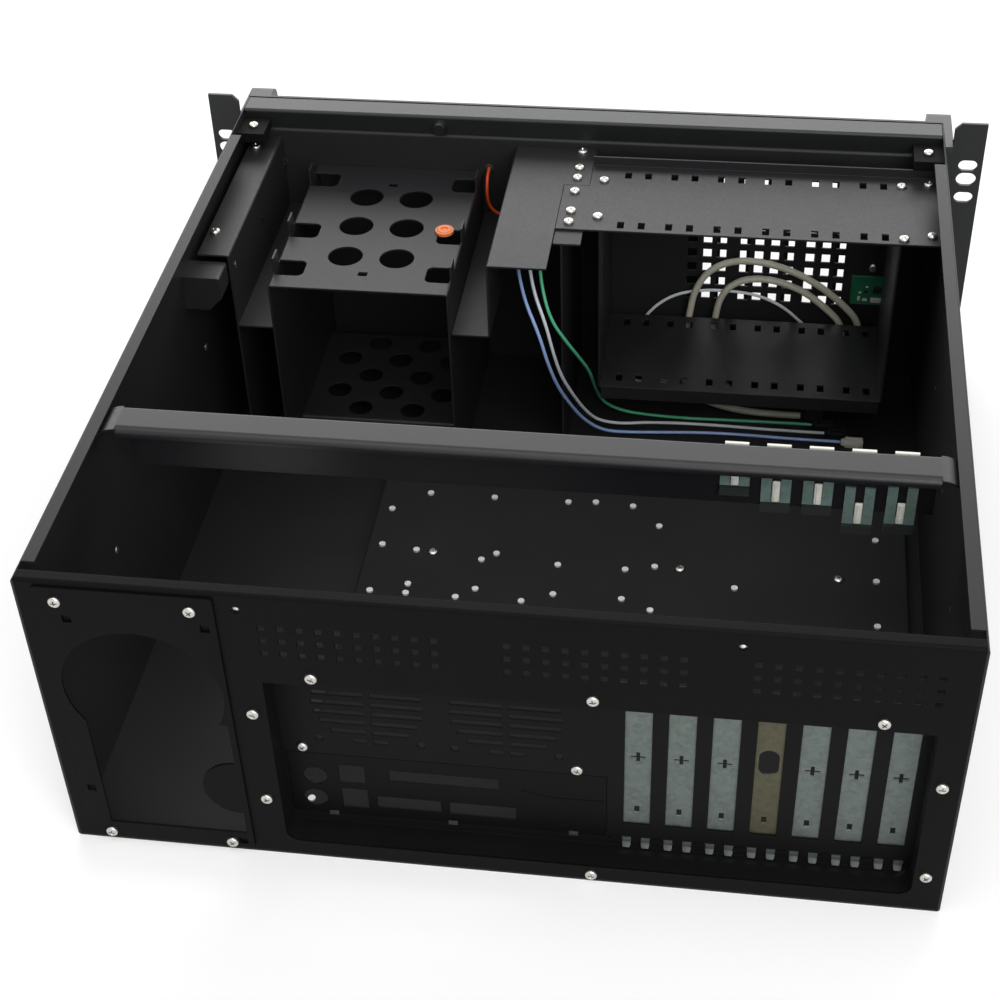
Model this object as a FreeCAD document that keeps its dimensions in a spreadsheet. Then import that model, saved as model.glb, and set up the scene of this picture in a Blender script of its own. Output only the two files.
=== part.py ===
"""Empty 4U rackmount server case, its cover taken off: folded sheets, cages, rails, door and leads.

The origin is the centre of the base's underside. +Z is up, -Y is the front with the rack ears and
the door, +Y is the rear panel, and +X is the side of the power supply opening.
"""
import FreeCAD, Part

import math
import os
import re

import Sketcher

os.makedirs("parts", exist_ok=True)
DOC = FreeCAD.newDocument("rackmount_case")
V = FreeCAD.Vector

# ---------------------------------------------------------------- driving sizes, millimetres
SIZES = {
    # chassis tray
    "body_width": "430",
    "body_depth": "450",
    "body_height": "177",
    "sheet": "1.2",
    "bend": "1.8",
    "top_flange": "7.5",
    "flange_front_gap": "49",
    "flange_rear_gap": "12",
    "fit_gap": "0.3",
    "rail_screw_height": "92.5",
    "rail_screw_first": "152.7",
    "rail_screw_pitch": "91.35",
    "rail_screw_radius": "2.2",
    "seat_bracket_drop": "18",
    "seat_bracket_reach": "13",
    # rear panel
    "rear_flange": "6.5",
    "vent_hole": "3.4",
    "vent_pitch_across": "8.7",
    "vent_pitch_up": "8",
    "vent_top_drop": "19.5",
    "vent_first": "101.8",
    "vent_second": "-9",
    "vent_third": "-119.5",
    "cover_screw_spread": "112.2",
    "cover_screw_drop": "9.5",
    "cover_screw_radius": "2",
    # screws of the rear side
    "plate_screw_drop": "11.1",
    "plate_screw_low": "7",
    "plate_screw_plus": "32.3",
    "plate_screw_minus": "30.3",
    "panel_screw_side": "7",
    "panel_screw_rise": "5.3",
    "panel_screw_edge": "9.4",
    "tub_screw_side": "9.6",
    # screws on the rails, cages and front wall, from the case's sides
    "rail_screw_edge": "10.6",
    "block_screw_edge": "9.7",
    "bay_screw_edge": "24.6",
    "seat_screw_edge": "8.7",
    "wall_screw_edge": "33",
    # recess tub with fan grilles, port opening and slots
    "supply_clear": "58.4",
    "recess_side_gap": "15",
    "recess_low": "10.5",
    "recess_drop": "54.5",
    "recess_depth": "15",
    "recess_corner": "7",
    "fan_drop": "26.2",
    "fan_side_gap": "43.7",
    "fan_spacing": "66.2",
    "fan_hole_spacing": "50",
    "fan_hole_radius": "2.2",
    "grille_radius": "27",
    "grille_slot": "3",
    "grille_pitch": "6.4",
    "grille_bridge": "3",
    "port_margin": "0.4",
    "port_width": "157.6",
    "port_low": "16",
    "port_high": "60",
    "shield_sheet": "0.8",
    "shield_rim": "3",
    "slot_side_gap": "132.6",
    "slot_pitch": "20.32",
    "slot_width": "12.8",
    "slot_low": "27",
    "slot_head": "12.5",
    "tab_hole": "5",
    "tab_hole_height": "15",
    # slot covers
    "cover_width": "18.4",
    "cover_sheet": "0.9",
    "cover_low": "17.5",
    "cover_tab": "11",
    "cross_height": "74.3",
    "cross_arm": "7",
    "cross_slit": "1.8",
    "drain_height": "37",
    "drain_length": "5",
    # power supply opening and plate
    "supply_side_gap": "51.6",
    "supply_plate_width": "84",
    "supply_plate_low": "3",
    "supply_fan_height": "110",
    "supply_fan_radius": "38.8",
    "supply_plus": "31.6",
    "supply_minus": "38.4",
    "supply_low": "14",
    "supply_step": "92",
    "supply_tab_radius": "18",
    "supply_tab_height": "47",
    "supply_hole_radius": "2.2",
    "supply_hole_plus": "28.7",
    "supply_hole_minus": "36",
    "supply_hole_high": "155.3",
    "supply_hole_side": "37.4",
    "supply_hole_low": "38.9",
    "supply_hole_base": "8",
    # motherboard tray
    "tray_top": "13",
    "stud_rear_gap": "25",
    "tray_clear": "56.4",
    "tray_side_gap": "10",
    "tray_front": "130",
    "tray_notch_depth": "159",
    "stud_radius": "1.9",
    "stud_high": "1.2",
    # cross bar
    "bar_front": "321",
    "bar_rear": "340",
    "bar_end": "15",
    "bar_drop": "14",
    "bar_lip": "5",
    "bar_roll": "3.8",
    "bar_apron": "36",
    # card retainers
    "retainer_shift": "36.6",
    "retainer_pitch": "20.1",
    "retainer_width": "14.4",
    "retainer_sheet": "1",
    "retainer_length": "22.9",
    "retainer_slot": "4.4",
    "retainer_foot": "4.9",
    "retainer_web": "3.5",
    "slider_width": "3.8",
    "slider_high": "13",
    "guide_width": "11.5",
    "guide_depth": "1.4",
    "guide_high": "30",
    "rest_drop_first": "29.2",
    "rest_drop_second": "38.2",
    "rest_drop_fourth": "48.7",
    "rest_drop_fifth": "47.1",
    # front wall, frame and bar
    "wall_front": "17",
    "wall_drop": "12",
    "wall_flange": "7",
    "mesh_hole": "6",
    "mesh_pitch_up": "10.4",
    "mesh_pitch_across": "9.2",
    "mesh_low": "57.6",
    "frame_sheet": "2",
    "rack_width": "482.6",
    "ear_hole_inset": "8.75",
    "ear_hole_drop": "37.7",
    "ear_slot_length": "12",
    "ear_slot_width": "8.8",
    "side_slot_length": "11.4",
    "side_slot_width": "7.2",
    "side_slot_above": "9.4",
    "side_slot_below": "12.7",
    "ear_notch_inset": "19.3",
    "ear_chamfer": "4",
    "door_side_gap": "23.5",
    "door_opening_low": "14",
    "door_head": "13.8",
    "bar_box_depth": "16.5",
    "bar_box_high": "12",
    "boss_place": "90.3",
    "boss_radius": "4.6",
    "boss_length": "4",
    "corner_block_depth": "20",
    "corner_block_width": "17",
    "corner_block_high": "6",
    "corner_block_drop": "5",
    # handles
    "handle_overlap": "7.5",
    "handle_width": "14.5",
    "handle_reach": "40",
    "handle_low": "12",
    "handle_bar": "12",
    "handle_round": "9",
    "grip_width": "6.5",
    "grip_rib": "2.4",
    # door
    "door_gap": "1.2",
    "door_clear_side": "2.5",
    "door_return": "10",
    "door_pin": "1.5",
    "door_pin_gap": "0.08",
    "door_pin_inset": "7.5",
    "door_pin_depth": "4",
    "door_slot_width": "6",
    "door_slot_pitch": "10.8",
    "door_slot_first": "-77.6",
    "door_slot_low": "30",
    "door_slot_margin": "13.2",
    "lock_inset": "19.5",
    "lock_radius": "8",
    "lock_face": "3",
    "lock_gap": "0.3",
    "lock_cam_length": "24",
    "lock_cam_width": "10",
    "button_inset": "10.5",
    "power_height": "120",
    "reset_height": "104",
    "power_radius": "4",
    "reset_radius": "2.5",
    "button_proud": "4.5",
    "button_stem": "6",
    "button_gap": "0.3",
    # drive rails
    "rail_drop": "17",
    "rail_side_gap": "23.3",
    "rail_flange": "18.5",
    "shelf_drop": "29.2",
    "rail_rear": "156",
    "rail_foot_width": "13.5",
    "bracket_shelf": "22.5",
    "bracket_rear": "153.5",
    "bracket_edge": "7.5",
    "joint_line": "61.5",
    # divider and its flange
    "divider_place": "3",
    "divider_rear": "125",
    "divider_flange": "8",
    # drive cage
    "cage_side_gap": "43.8",
    "cage_width": "105.5",
    "cage_drop": "19",
    "cage_rear": "156.5",
    "cage_floor": "20",
    "cage_floor_front": "30",
    "cage_floor_rear": "122",
    "cage_hole_radius": "10.25",
    "cage_hole_spacing": "30.7",
    "cage_hole_pitch": "33.3",
    "cage_hole_first": "55",
    "cage_notch_depth": "18",
    "cage_notch_width": "16",
    "cage_notch_round": "4",
    "cage_tab_high": "9",
    "hex_hole_radius": "7.6",
    "hex_hole_pitch": "33.6",
    "hex_row_pitch": "17.4",
    "hex_first_row": "40",
    # cage for drives on edge
    "bay_top_front": "36",
    "bay_top_rear": "110.5",
    "bay_upstand": "5.5",
    "bay_plus": "17.1",
    "bay_side_gap": "26.1",
    "bay_floor": "48",
    "bay_front": "31",
    "bay_rear": "110",
    "bay_flange": "8",
    "bay_hole_width": "4",
    "bay_hole_length": "7",
    "bay_hole_first": "-29.2",
    "bay_hole_pair": "12",
    "bay_hole_pitch": "27.75",
    "bay_row_front": "48",
    "bay_row_rear": "104",
    "bay_floor_row_front": "39.7",
    "bay_floor_row_rear": "100",
    # small things
    "box_wide": "21.8",
    "box_front": "157.5",
    "box_rear": "175",
    "box_tall": "21.5",
    "box_drop": "3.5",
    "box_chamfer": "8",
    "board_side_gap": "44.5",
    "board_width": "21.7",
    "board_low": "57",
    "board_high": "21",
    "board_thick": "1.6",
    "screw_radius": "3",
    "screw_high": "1.9",
    "screw_sides": "12",
    # leads
    "usb_lead": "4.4",
    "thin_lead": "2",
    "lead_sides": "8",
    "plug_length": "14",
    "plug_width": "7",
    "plug_high": "5",
}

# what follows from them, worked out in the sheet
DERIVED = {
    "wall_high": "body_height-wall_drop",
    "rail_top": "body_height-rail_drop",
    "door_opening_high": "body_height-door_head",
    "door_slot_high": "door_opening_high-door_slot_margin",
    "cage_top": "rail_top-cage_drop",
    "rail_shelf_height": "cage_top-shelf_drop",
    "supply_plate_high": "body_height-supply_plate_low",
    "recess_high": "body_height-recess_drop",
    "slot_high": "recess_high-slot_head",
    "fan_height": "recess_high-fan_drop",
    "lock_height": "body_height/2",
    "box_high": "rail_top-box_drop",
    "box_low": "box_high-box_tall",
    "rest_first": "body_height-rest_drop_first",
    "rest_second": "body_height-rest_drop_second",
    "rest_third": "body_height-rest_drop_second",
    "rest_fourth": "body_height-rest_drop_fourth",
    "rest_fifth": "body_height-rest_drop_fifth",
    "cage_plus": "body_width/2-sheet-cage_side_gap",
    "cage_minus": "cage_plus-cage_width",
    "rail_web": "body_width/2-sheet-rail_side_gap",
    "rail_foot": "rail_web+rail_foot_width",
    "bracket_web": "cage_minus-bracket_shelf",
    "supply_centre": "body_width/2-supply_side_gap",
    "recess_minus": "body_width/2-recess_side_gap",
    "recess_plus": "supply_centre-supply_clear",
    "port_plus": "recess_plus-port_margin",
    "port_minus": "port_width-port_plus",
    "fan_first": "recess_plus-fan_side_gap",
    "slot_first": "slot_side_gap-recess_minus",
    "retainer_first": "slot_first-retainer_shift",
    "tray_minus": "body_width/2-tray_side_gap",
    "tray_plus": "supply_centre-tray_clear",
    "bar_span": "body_width/2-bar_end",
    "door_opening": "body_width/2-door_side_gap",
    "lock_place": "door_opening-lock_inset",
    "button_place": "button_inset-door_opening",
    "ear_notch": "rack_width/2-ear_notch_inset",
    "ear_hole_spacing": "rack_width-2*ear_hole_inset",
    "handle_inner": "body_width/2-handle_overlap",
    "bay_minus": "body_width/2-bay_side_gap",
    "box_inner": "body_width/2-sheet-box_wide",
    "board_plus": "body_width/2-sheet-board_side_gap",
}

SHEET = DOC.addObject("Spreadsheet::Sheet", "Sizes")
ROWS = list(SIZES.items()) + [(alias, "=" + text) for alias, text in DERIVED.items()]
for row, (alias, text) in enumerate(ROWS, start=1):
    SHEET.set(f"A{row}", alias.replace("_", " "))
    SHEET.setAlias(f"B{row}", alias)
for row, (alias, text) in enumerate(ROWS, start=1):
    SHEET.set(f"B{row}", text)
DOC.recompute()

WORD = re.compile(r"[a-z_]{3,}")
ALIASES = {alias for alias, text in ROWS}
NODES = {}


# ---------------------------------------------------------------- helpers
def bound(text):
    """Point every size word in an expression at its cell of the sheet."""
    return WORD.sub(lambda word: "Sizes." + word[0] if word[0] in ALIASES else word[0], str(text))


def number(text):
    """The present value of an expression, in millimetres."""
    return float(SHEET.evalExpression(bound(text)))


def from_front(text):
    """A place measured rearwards from the front plane of the tray."""
    return f"(-body_depth/2+{text})"


def from_rear(text):
    """A place measured forwards from the rear face."""
    return f"(body_depth/2-({text}))"


def node(name, thing):
    """Register a finished sub-part under its file name."""
    thing.Label = name
    NODES[name] = thing
    return thing


def box(name, x_span, y_span, z_span):
    """A box from three (low, high) pairs of expressions."""
    solid = DOC.addObject("Part::Box", name)
    spans = (("Length", "x", x_span), ("Width", "y", y_span), ("Height", "z", z_span))
    for size, axis, (low, high) in spans:
        solid.setExpression(size, bound(f"({high})-({low})"))
        solid.setExpression(f"Placement.Base.{axis}", bound(low))
    return solid


TURNS = {
    "x": FreeCAD.Rotation(V(0, 1, 0), 90),
    "y": FreeCAD.Rotation(V(1, 0, 0), -90),
    "z": FreeCAD.Rotation(),
}


def round_bar(name, axis, foot, radius, length, tip=None):
    """A cylinder, or a cone when a tip radius is given, from its foot along +axis."""
    kind = "Part::Cylinder" if tip is None else "Part::Cone"
    solid = DOC.addObject(kind, name)
    solid.Placement = FreeCAD.Placement(V(), TURNS[axis])
    for letter, place in zip("xyz", foot):
        solid.setExpression(f"Placement.Base.{letter}", bound(place))
    if tip is None:
        solid.setExpression("Radius", bound(radius))
    else:
        solid.setExpression("Radius1", bound(radius))
        solid.setExpression("Radius2", bound(tip))
    solid.setExpression("Height", bound(length))
    return solid


def group(name, solids):
    """Several solids kept side by side."""
    gathered = DOC.addObject("Part::Compound", name)
    gathered.Links = solids
    return gathered


def cut(name, base, tools):
    """The base less its cutters."""
    cutter = tools[0] if len(tools) == 1 else group(name + "_cutters", tools)
    result = DOC.addObject("Part::Cut", name)
    result.Base = base
    result.Tool = cutter
    return result


def fuse(name, solids):
    """Solids welded or folded into one piece."""
    result = DOC.addObject("Part::MultiFuse", name)
    result.Shapes = solids
    result.Refine = True
    return result


PLANES = {"x": "YZ_Plane", "y": "XZ_Plane", "z": "XY_Plane"}
ACROSS = {"x": "yz", "y": "xz", "z": "xy"}


def profile(name, axis, span, outline, bends=()):
    """A body padded along an axis from a closed outline, with some corners rounded.

    outline is a list of (across, up) expressions, and bends a list of (corner index, radius).
    """
    body = DOC.addObject("PartDesign::Body", name)
    plane = [one for one in body.Origin.OriginFeatures if one.Role == PLANES[axis]][0]
    sketch = body.newObject("Sketcher::SketchObject", name + "_outline")
    sketch.AttachmentSupport = [(plane, "")]
    sketch.MapMode = "FlatFace"
    places = [(number(across), number(up)) for across, up in outline]
    for index, place in enumerate(places):
        following = places[(index + 1) % len(places)]
        sketch.addGeometry(Part.LineSegment(V(*place, 0), V(*following, 0)), False)
    for index in range(len(places)):
        sketch.addConstraint(Sketcher.Constraint("Coincident", index, 2, (index + 1) % len(places), 1))
    for index, (across, up) in enumerate(outline):
        for kind, text, place in zip(("DistanceX", "DistanceY"), (across, up), places[index]):
            row = sketch.addConstraint(Sketcher.Constraint(kind, -1, 1, index, 1, place))
            sketch.setExpression(f"Constraints[{row}]", bound(text))
    low, high = span
    pad = body.newObject("PartDesign::Pad", name + "_pad")
    pad.Profile = sketch
    pad.setExpression("Length", bound(f"({high})-({low})"))
    start = high if axis == "y" else low
    body.setExpression(f"Placement.Base.{axis}", bound(start))
    DOC.recompute()
    tip = pad
    for step, (corners, radius) in enumerate(bends):
        chosen = [places[corner] for corner in corners]
        first, second = ACROSS[axis]
        edges = []
        for row, edge in enumerate(tip.Shape.Edges, start=1):
            ends = [(getattr(vertex.Point, first), getattr(vertex.Point, second)) for vertex in edge.Vertexes]
            if len(ends) == 2 and math.dist(*ends) < 1e-6:
                if any(math.dist(ends[0], corner) < 1e-4 for corner in chosen):
                    edges.append(f"Edge{row}")
        fillet = body.newObject("PartDesign::Fillet", f"{name}_bend_{step}")
        fillet.Base = (tip, edges)
        fillet.setExpression("Radius", bound(radius))
        DOC.recompute()
        tip = fillet
    body.Tip = tip
    return body


def sheet_outline(path, side):
    """The closed outline of a folded sheet from its outer path of axis-parallel runs.

    side is 1 when the sheet lies to the left of the path's direction, -1 to the right.
    """
    ways = []
    for (across, up), (far_across, far_up) in zip(path, path[1:]):
        run = (number(far_across) - number(across), number(far_up) - number(up))
        ways.append((int(math.copysign(1, run[0])), 0) if abs(run[0]) > abs(run[1])
                    else (0, int(math.copysign(1, run[1]))))
    inner = []
    for index, (across, up) in enumerate(path):
        near = ways[max(index - 1, 0)]
        far = ways[min(index, len(ways) - 1)]
        shifts = {(-side * way[1], side * way[0]) for way in (near, far)}
        move = (sum(one[0] for one in shifts), sum(one[1] for one in shifts))
        inner.append((f"{across}+({move[0]})*sheet", f"{up}+({move[1]})*sheet"))
    return list(path) + inner[::-1]


def folded(name, axis, span, path, side=1, bends=True):
    """A sheet folded along a path, its outer bends rounded."""
    outline = sheet_outline(path, side)
    corners = list(range(1, len(path) - 1))
    turned = []
    for corner in corners:
        before = [number(path[corner][k]) - number(path[corner - 1][k]) for k in (0, 1)]
        after = [number(path[corner + 1][k]) - number(path[corner][k]) for k in (0, 1)]
        turn = before[0] * after[1] - before[1] * after[0]
        outer = corner if turn * side > 0 else 2 * len(path) - 1 - corner
        turned.append(outer)
    return profile(name, axis, span, outline, [(turned, "bend")] if bends and turned else ())


def screws(name, axis, sign, places, face):
    """Pan heads standing on a face; places are (first, second) expressions in the face's plane."""
    heads = []
    for index, (first, second) in enumerate(places):
        if axis == "y":
            foot = (first, face, second)
        elif axis == "x":
            foot = (face, first, second)
        else:
            foot = (first, second, face)
        head = DOC.addObject("Part::Prism", f"{name}_{index}")
        head.Placement = FreeCAD.Placement(V(), TURNS[axis])
        for letter, place in zip("xyz", foot):
            head.setExpression(f"Placement.Base.{letter}", bound(place))
        for size, text in (("Polygon", "screw_sides"), ("Circumradius", "screw_radius"), ("Height", "screw_high")):
            head.setExpression(size, bound(text))
        if sign < 0:
            flip = FreeCAD.Rotation(V(1, 0, 0) if axis != "x" else V(0, 0, 1), 180)
            head.Placement.Rotation = flip.multiply(head.Placement.Rotation)
        heads.append(head)
    return heads


# ---------------------------------------------------------------- shared places
WALL = "(body_width/2-sheet)"
REAR = "(body_depth/2)"
FRAME_FACE = "(-body_depth/2-frame_sheet)"
BEHIND_WALL = from_front("wall_front+sheet")
CAGE_START = from_front("wall_front+sheet+fit_gap")
SEAT = "(rail_top-sheet)"
RECESS_FACE = from_rear("recess_depth")
RECESS_FRONT = from_rear("recess_depth+sheet")
LEDGE = "(recess_high+sheet)"


def chassis_tray():
    """Base and two side walls from one sheet, top flanges cut short at both ends."""
    side = "body_width/2"
    path = [(f"-{side}+top_flange", "body_height"), (f"-{side}", "body_height"), (f"-{side}", "0"),
            (side, "0"), (side, "body_height"), (f"{side}-top_flange", "body_height")]
    tray = folded("tray_sheet", "y", (from_front("0"), REAR), path)
    cutters = []
    for end, (low, high) in {
        "front": (from_front("-1"), from_front("flange_front_gap")),
        "rear": (from_rear("flange_rear_gap"), from_rear("-1")),
    }.items():
        cutters.append(box(f"flange_relief_{end}", (f"-{WALL}", WALL), (low, high),
                           ("body_height-2*bend", "body_height+1")))
    for index in range(3):
        place = from_front(f"rail_screw_first+{index}*rail_screw_pitch")
        cutters.append(round_bar(f"side_hole_{index}", "x", ("-body_width/2-1", place, "rail_screw_height"),
                                 "rail_screw_radius", "body_width+2"))
    walls = cut("tray_walls", tray, cutters)
    seat = folded("plate_seat", "y", (from_front("bay_top_front+2"), from_front("bay_top_rear-2")),
                  [(f"-{WALL}", f"{SEAT}-seat_bracket_drop"), (f"-{WALL}", SEAT),
                   (f"-{WALL}+seat_bracket_reach", SEAT)], side=-1)
    return node("chassis_tray", fuse("tray", [walls, seat]))


def supply_outline(name, y_span):
    """Cutter of the power supply opening: a fan circle over a straight-sided lower part."""
    low, high = y_span
    circle = round_bar(name + "_circle", "y", ("supply_centre", low, "supply_fan_height"),
                       "supply_fan_radius", f"({high})-({low})")
    lower = box(name + "_lower", ("supply_centre-supply_minus", "supply_centre+supply_plus"), y_span,
                ("supply_low", "supply_step"))
    return fuse(name + "_opening", [circle, lower])


def rear_panel():
    """Rear sheet with its top flange, vents, recess opening and power supply opening."""
    panel = folded("panel_sheet", "x", (f"-{WALL}", WALL),
                   [(from_rear("rear_flange"), "body_height"), (REAR, "body_height"), (REAR, "sheet")], side=-1)
    through = (from_rear("2*sheet"), from_rear("-sheet"))
    recess = profile("recess_cutter", "y", through,
                     [("-recess_minus", "recess_low"), ("recess_plus", "recess_low"),
                      ("recess_plus", "recess_high"), ("-recess_minus", "recess_high")],
                     [([0, 1], "recess_corner")])
    supply = box("supply_cutter", ("supply_centre-supply_fan_radius-1", "supply_centre+supply_fan_radius+1"),
                 through, ("supply_low-2", "supply_fan_height+supply_fan_radius+2"))
    cutters = [recess, supply]
    for block, first in enumerate(("vent_first", "vent_second", "vent_third")):
        for column in range(10):
            for row in range(3):
                middle = f"{first}-{column}*vent_pitch_across"
                height = f"body_height-vent_top_drop-{row}*vent_pitch_up"
                cutters.append(box(f"vent_{block}_{column}_{row}",
                                   (f"{middle}-vent_hole/2", f"{middle}+vent_hole/2"), through,
                                   (f"{height}-vent_hole/2", f"{height}+vent_hole/2")))
    for index, sign in enumerate("+-"):
        cutters.append(round_bar(f"cover_hole_{index}", "y",
                                 (f"{sign}cover_screw_spread", through[0], "body_height-cover_screw_drop"),
                                 "cover_screw_radius", "3*sheet"))
    return node("rear_panel", cut("panel", panel, cutters))


def psu_plate():
    """Plate that carries the power supply, with its opening, corner tab and square holes."""
    y_span = (REAR, from_rear("-sheet"))
    through = (from_rear("sheet"), from_rear("-2*sheet"))
    middle = "(supply_centre+0.6)"
    plate = profile("supply_sheet", "y", y_span,
                    [(f"{middle}-supply_plate_width/2", "supply_plate_low"),
                     (f"{middle}+supply_plate_width/2", "supply_plate_low"),
                     (f"{middle}+supply_plate_width/2", "supply_plate_high"),
                     (f"{middle}-supply_plate_width/2", "supply_plate_high")], [([0, 1, 2, 3], "bend")])
    cutters = [supply_outline("supply", through)]
    for index, (across, up) in enumerate((("supply_centre+supply_hole_plus", "supply_hole_high"),
                                          ("supply_centre-supply_hole_minus", "supply_hole_high"),
                                          ("supply_centre+supply_hole_side", "supply_hole_low"),
                                          ("supply_centre-supply_hole_minus", "supply_hole_base"))):
        cutters.append(box(f"supply_hole_{index}", (f"{across}-supply_hole_radius", f"{across}+supply_hole_radius"),
                           through, (f"{up}-supply_hole_radius", f"{up}+supply_hole_radius")))
    opened = cut("supply_opened", plate, cutters)
    corner = "supply_centre-supply_minus"
    disc = round_bar("supply_tab_disc", "y", (corner, REAR, "supply_tab_height"), "supply_tab_radius", "sheet")
    outside = box("supply_tab_trim", (f"{corner}-supply_tab_radius-1", f"{corner}-1"), through,
                  ("supply_tab_height-supply_tab_radius-1", "supply_tab_height+supply_tab_radius+1"))
    tab = cut("supply_tab", disc, [outside])
    return node("psu_plate", fuse("supply_plate", [opened, tab]))


def tub_outline(margin):
    """Corners of the recess, grown by a margin."""
    return [(f"-recess_minus-{margin}", f"recess_low-{margin}"), (f"recess_plus+{margin}", f"recess_low-{margin}"),
            (f"recess_plus+{margin}", f"recess_high+{margin}"), (f"-recess_minus-{margin}", f"recess_high+{margin}")]


def recess_panel():
    """Folded tub behind the rear panel: two fan grilles, the port opening and seven slots."""
    shell = profile("tub_outer", "y", (RECESS_FRONT, from_rear("sheet")), tub_outline("sheet"),
                    [([0, 1], "recess_corner+sheet")])
    hollow = profile("tub_inner", "y", (RECESS_FACE, from_rear("0")), tub_outline("0"), [([0, 1], "recess_corner")])
    tub = cut("tub_shell", shell, [hollow])
    through = (from_rear("recess_depth+2*sheet"), from_rear("recess_depth-sheet"))
    cutters = [box("port_cutter", ("-port_minus", "port_plus"), through, ("port_low", "port_high"))]
    for fan in range(2):
        middle = f"fan_first-{fan}*fan_spacing"
        for row in range(-4, 5):
            height = f"fan_height+({row})*grille_pitch"
            reach = f"sqrt(grille_radius*grille_radius-({row})*({row})*grille_pitch*grille_pitch)"
            for sign in "+-":
                near, far = f"{middle}{sign}grille_bridge/2", f"{middle}{sign}{reach}"
                span = (near, far) if sign == "+" else (far, near)
                cutters.append(box(f"grille_{fan}_{row + 4}_{'pm'[sign == '-']}", span, through,
                                   (f"{height}-grille_slot/2", f"{height}+grille_slot/2")))
        for index, (side, rise) in enumerate((("+", "+"), ("+", "-"), ("-", "+"), ("-", "-"))):
            cutters.append(round_bar(f"fan_hole_{fan}_{index}", "y",
                                     (f"{middle}{side}fan_hole_spacing/2", through[0],
                                      f"fan_height{rise}fan_hole_spacing/2"), "fan_hole_radius", "3*sheet"))
    for slot in range(7):
        middle = f"slot_first-{slot}*slot_pitch"
        cutters.append(box(f"slot_cutter_{slot}", (f"{middle}-slot_width/2", f"{middle}+slot_width/2"), through,
                           ("slot_low", "slot_high")))
        for side in "+-":
            place = f"{middle}{side}slot_pitch/4"
            cutters.append(box(f"tongue_hole_{slot}_{'pm'[side == '-']}",
                               (f"{place}-tab_hole/2", f"{place}+tab_hole/2"), through,
                               ("tab_hole_height-tab_hole/2", "tab_hole_height+tab_hole/2")))
    return node("recess_panel", cut("tub", tub, cutters))


def io_shield():
    """Port plate: a thin sheet with a rim, punched for round, square and D-shaped ports."""
    face = (from_rear("recess_depth+shield_sheet"), RECESS_FACE)
    edge = "fit_gap"
    outer = box("shield_block", (f"-port_minus+{edge}", f"port_plus-{edge}"),
                (from_rear("recess_depth+shield_rim"), RECESS_FACE), (f"port_low+{edge}", f"port_high-{edge}"))
    hollow = box("shield_hollow", (f"-port_minus+{edge}+shield_sheet", f"port_plus-{edge}-shield_sheet"),
                 (from_rear("recess_depth+shield_rim+1"), face[0]),
                 (f"port_low+{edge}+shield_sheet", f"port_high-{edge}-shield_sheet"))
    through = (from_rear("recess_depth+2*shield_sheet"), from_rear("recess_depth-shield_sheet"))
    middle = "(port_plus-port_minus)/2"
    cutters = [hollow]
    for index, (across, up) in enumerate((("65.2", "43.1"), ("66.2", "27"))):
        cutters.append(round_bar(f"round_port_{index}", "y", (f"{middle}+{across}", through[0], up), "6", "2*shield_sheet"))
    for index, (across, wide, low, high) in enumerate((
            ("46.7", "13", "39.8", "52.6"), ("46.2", "13", "22", "35.5"), ("1", "54", "43.8", "51.3"),
            ("19.2", "32", "23.6", "31.6"), ("-17.6", "33", "23.2", "31.6"))):
        cutters.append(box(f"port_{index}", (f"{middle}+{across}-{wide}/2", f"{middle}+{across}+{wide}/2"),
                           through, (low, high)))
    return node("io_shield", cut("shield", outer, cutters))


def slot_cover(index):
    """One expansion slot cover: a blade behind its slot, its top tab on the ledge."""
    middle = f"(slot_first-{index}*slot_pitch)"
    front = f"{RECESS_FRONT}-cover_sheet"
    blade = profile(f"cover_sheet_{index}", "x", (f"{middle}-cover_width/2", f"{middle}+cover_width/2"),
                    [(front, "cover_low"), (RECESS_FRONT, "cover_low"), (RECESS_FRONT, LEDGE),
                     (f"{RECESS_FRONT}+cover_tab", LEDGE), (f"{RECESS_FRONT}+cover_tab", f"{LEDGE}+cover_sheet"),
                     (front, f"{LEDGE}+cover_sheet")], [([5], "bend")])
    through = (f"{front}-1", f"{RECESS_FRONT}+1")
    tools = [box(f"cover_drain_{index}", (f"{middle}-drain_length/4", f"{middle}+drain_length/4"), through,
                 ("drain_height-drain_length/2", "drain_height+drain_length/2"))]
    if index == 3:
        for end, rise in enumerate("+-"):
            tools.append(round_bar(f"cover_oval_{end}", "y",
                                   (middle, through[0], f"cross_height+3.5{rise}3.7"), "4.8", "cover_sheet+2"))
        tools.append(box("cover_oval_mid", (f"{middle}-4.8", f"{middle}+4.8"), through,
                         ("cross_height-0.2", "cross_height+7.2")))
        tools = [tools[0], fuse("cover_oval", tools[1:])]
    else:
        arm, slit = "cross_arm/2", "cross_slit/2"
        across = box(f"cross_wide_{index}", (f"{middle}-{arm}", f"{middle}+{arm}"), through,
                     (f"cross_height-{slit}", f"cross_height+{slit}"))
        upright = box(f"cross_tall_{index}", (f"{middle}-{slit}", f"{middle}+{slit}"), through,
                      (f"cross_height-{arm}", f"cross_height+{arm}"))
        tools.append(fuse(f"cross_{index}", [across, upright]))
    return node(f"slot_cover_{index + 1}", cut(f"cover_{index}", blade, tools))


def motherboard_tray():
    """Raised plate on two folded edges, notched round the drive cage."""
    plate = folded("board_sheet", "y", (from_front("tray_front"), from_rear("recess_depth+sheet+fit_gap")),
                   [("-tray_minus", "sheet"), ("-tray_minus", "tray_top"), ("tray_plus", "tray_top"),
                    ("tray_plus", "sheet")], side=-1)
    notch = box("board_notch", ("cage_minus-2.5", "tray_plus+1"),
                (from_front("tray_front-1"), from_front("tray_notch_depth")), ("0", "tray_top+1"))
    return node("motherboard_tray", cut("board_tray", plate, [notch]))


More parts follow.
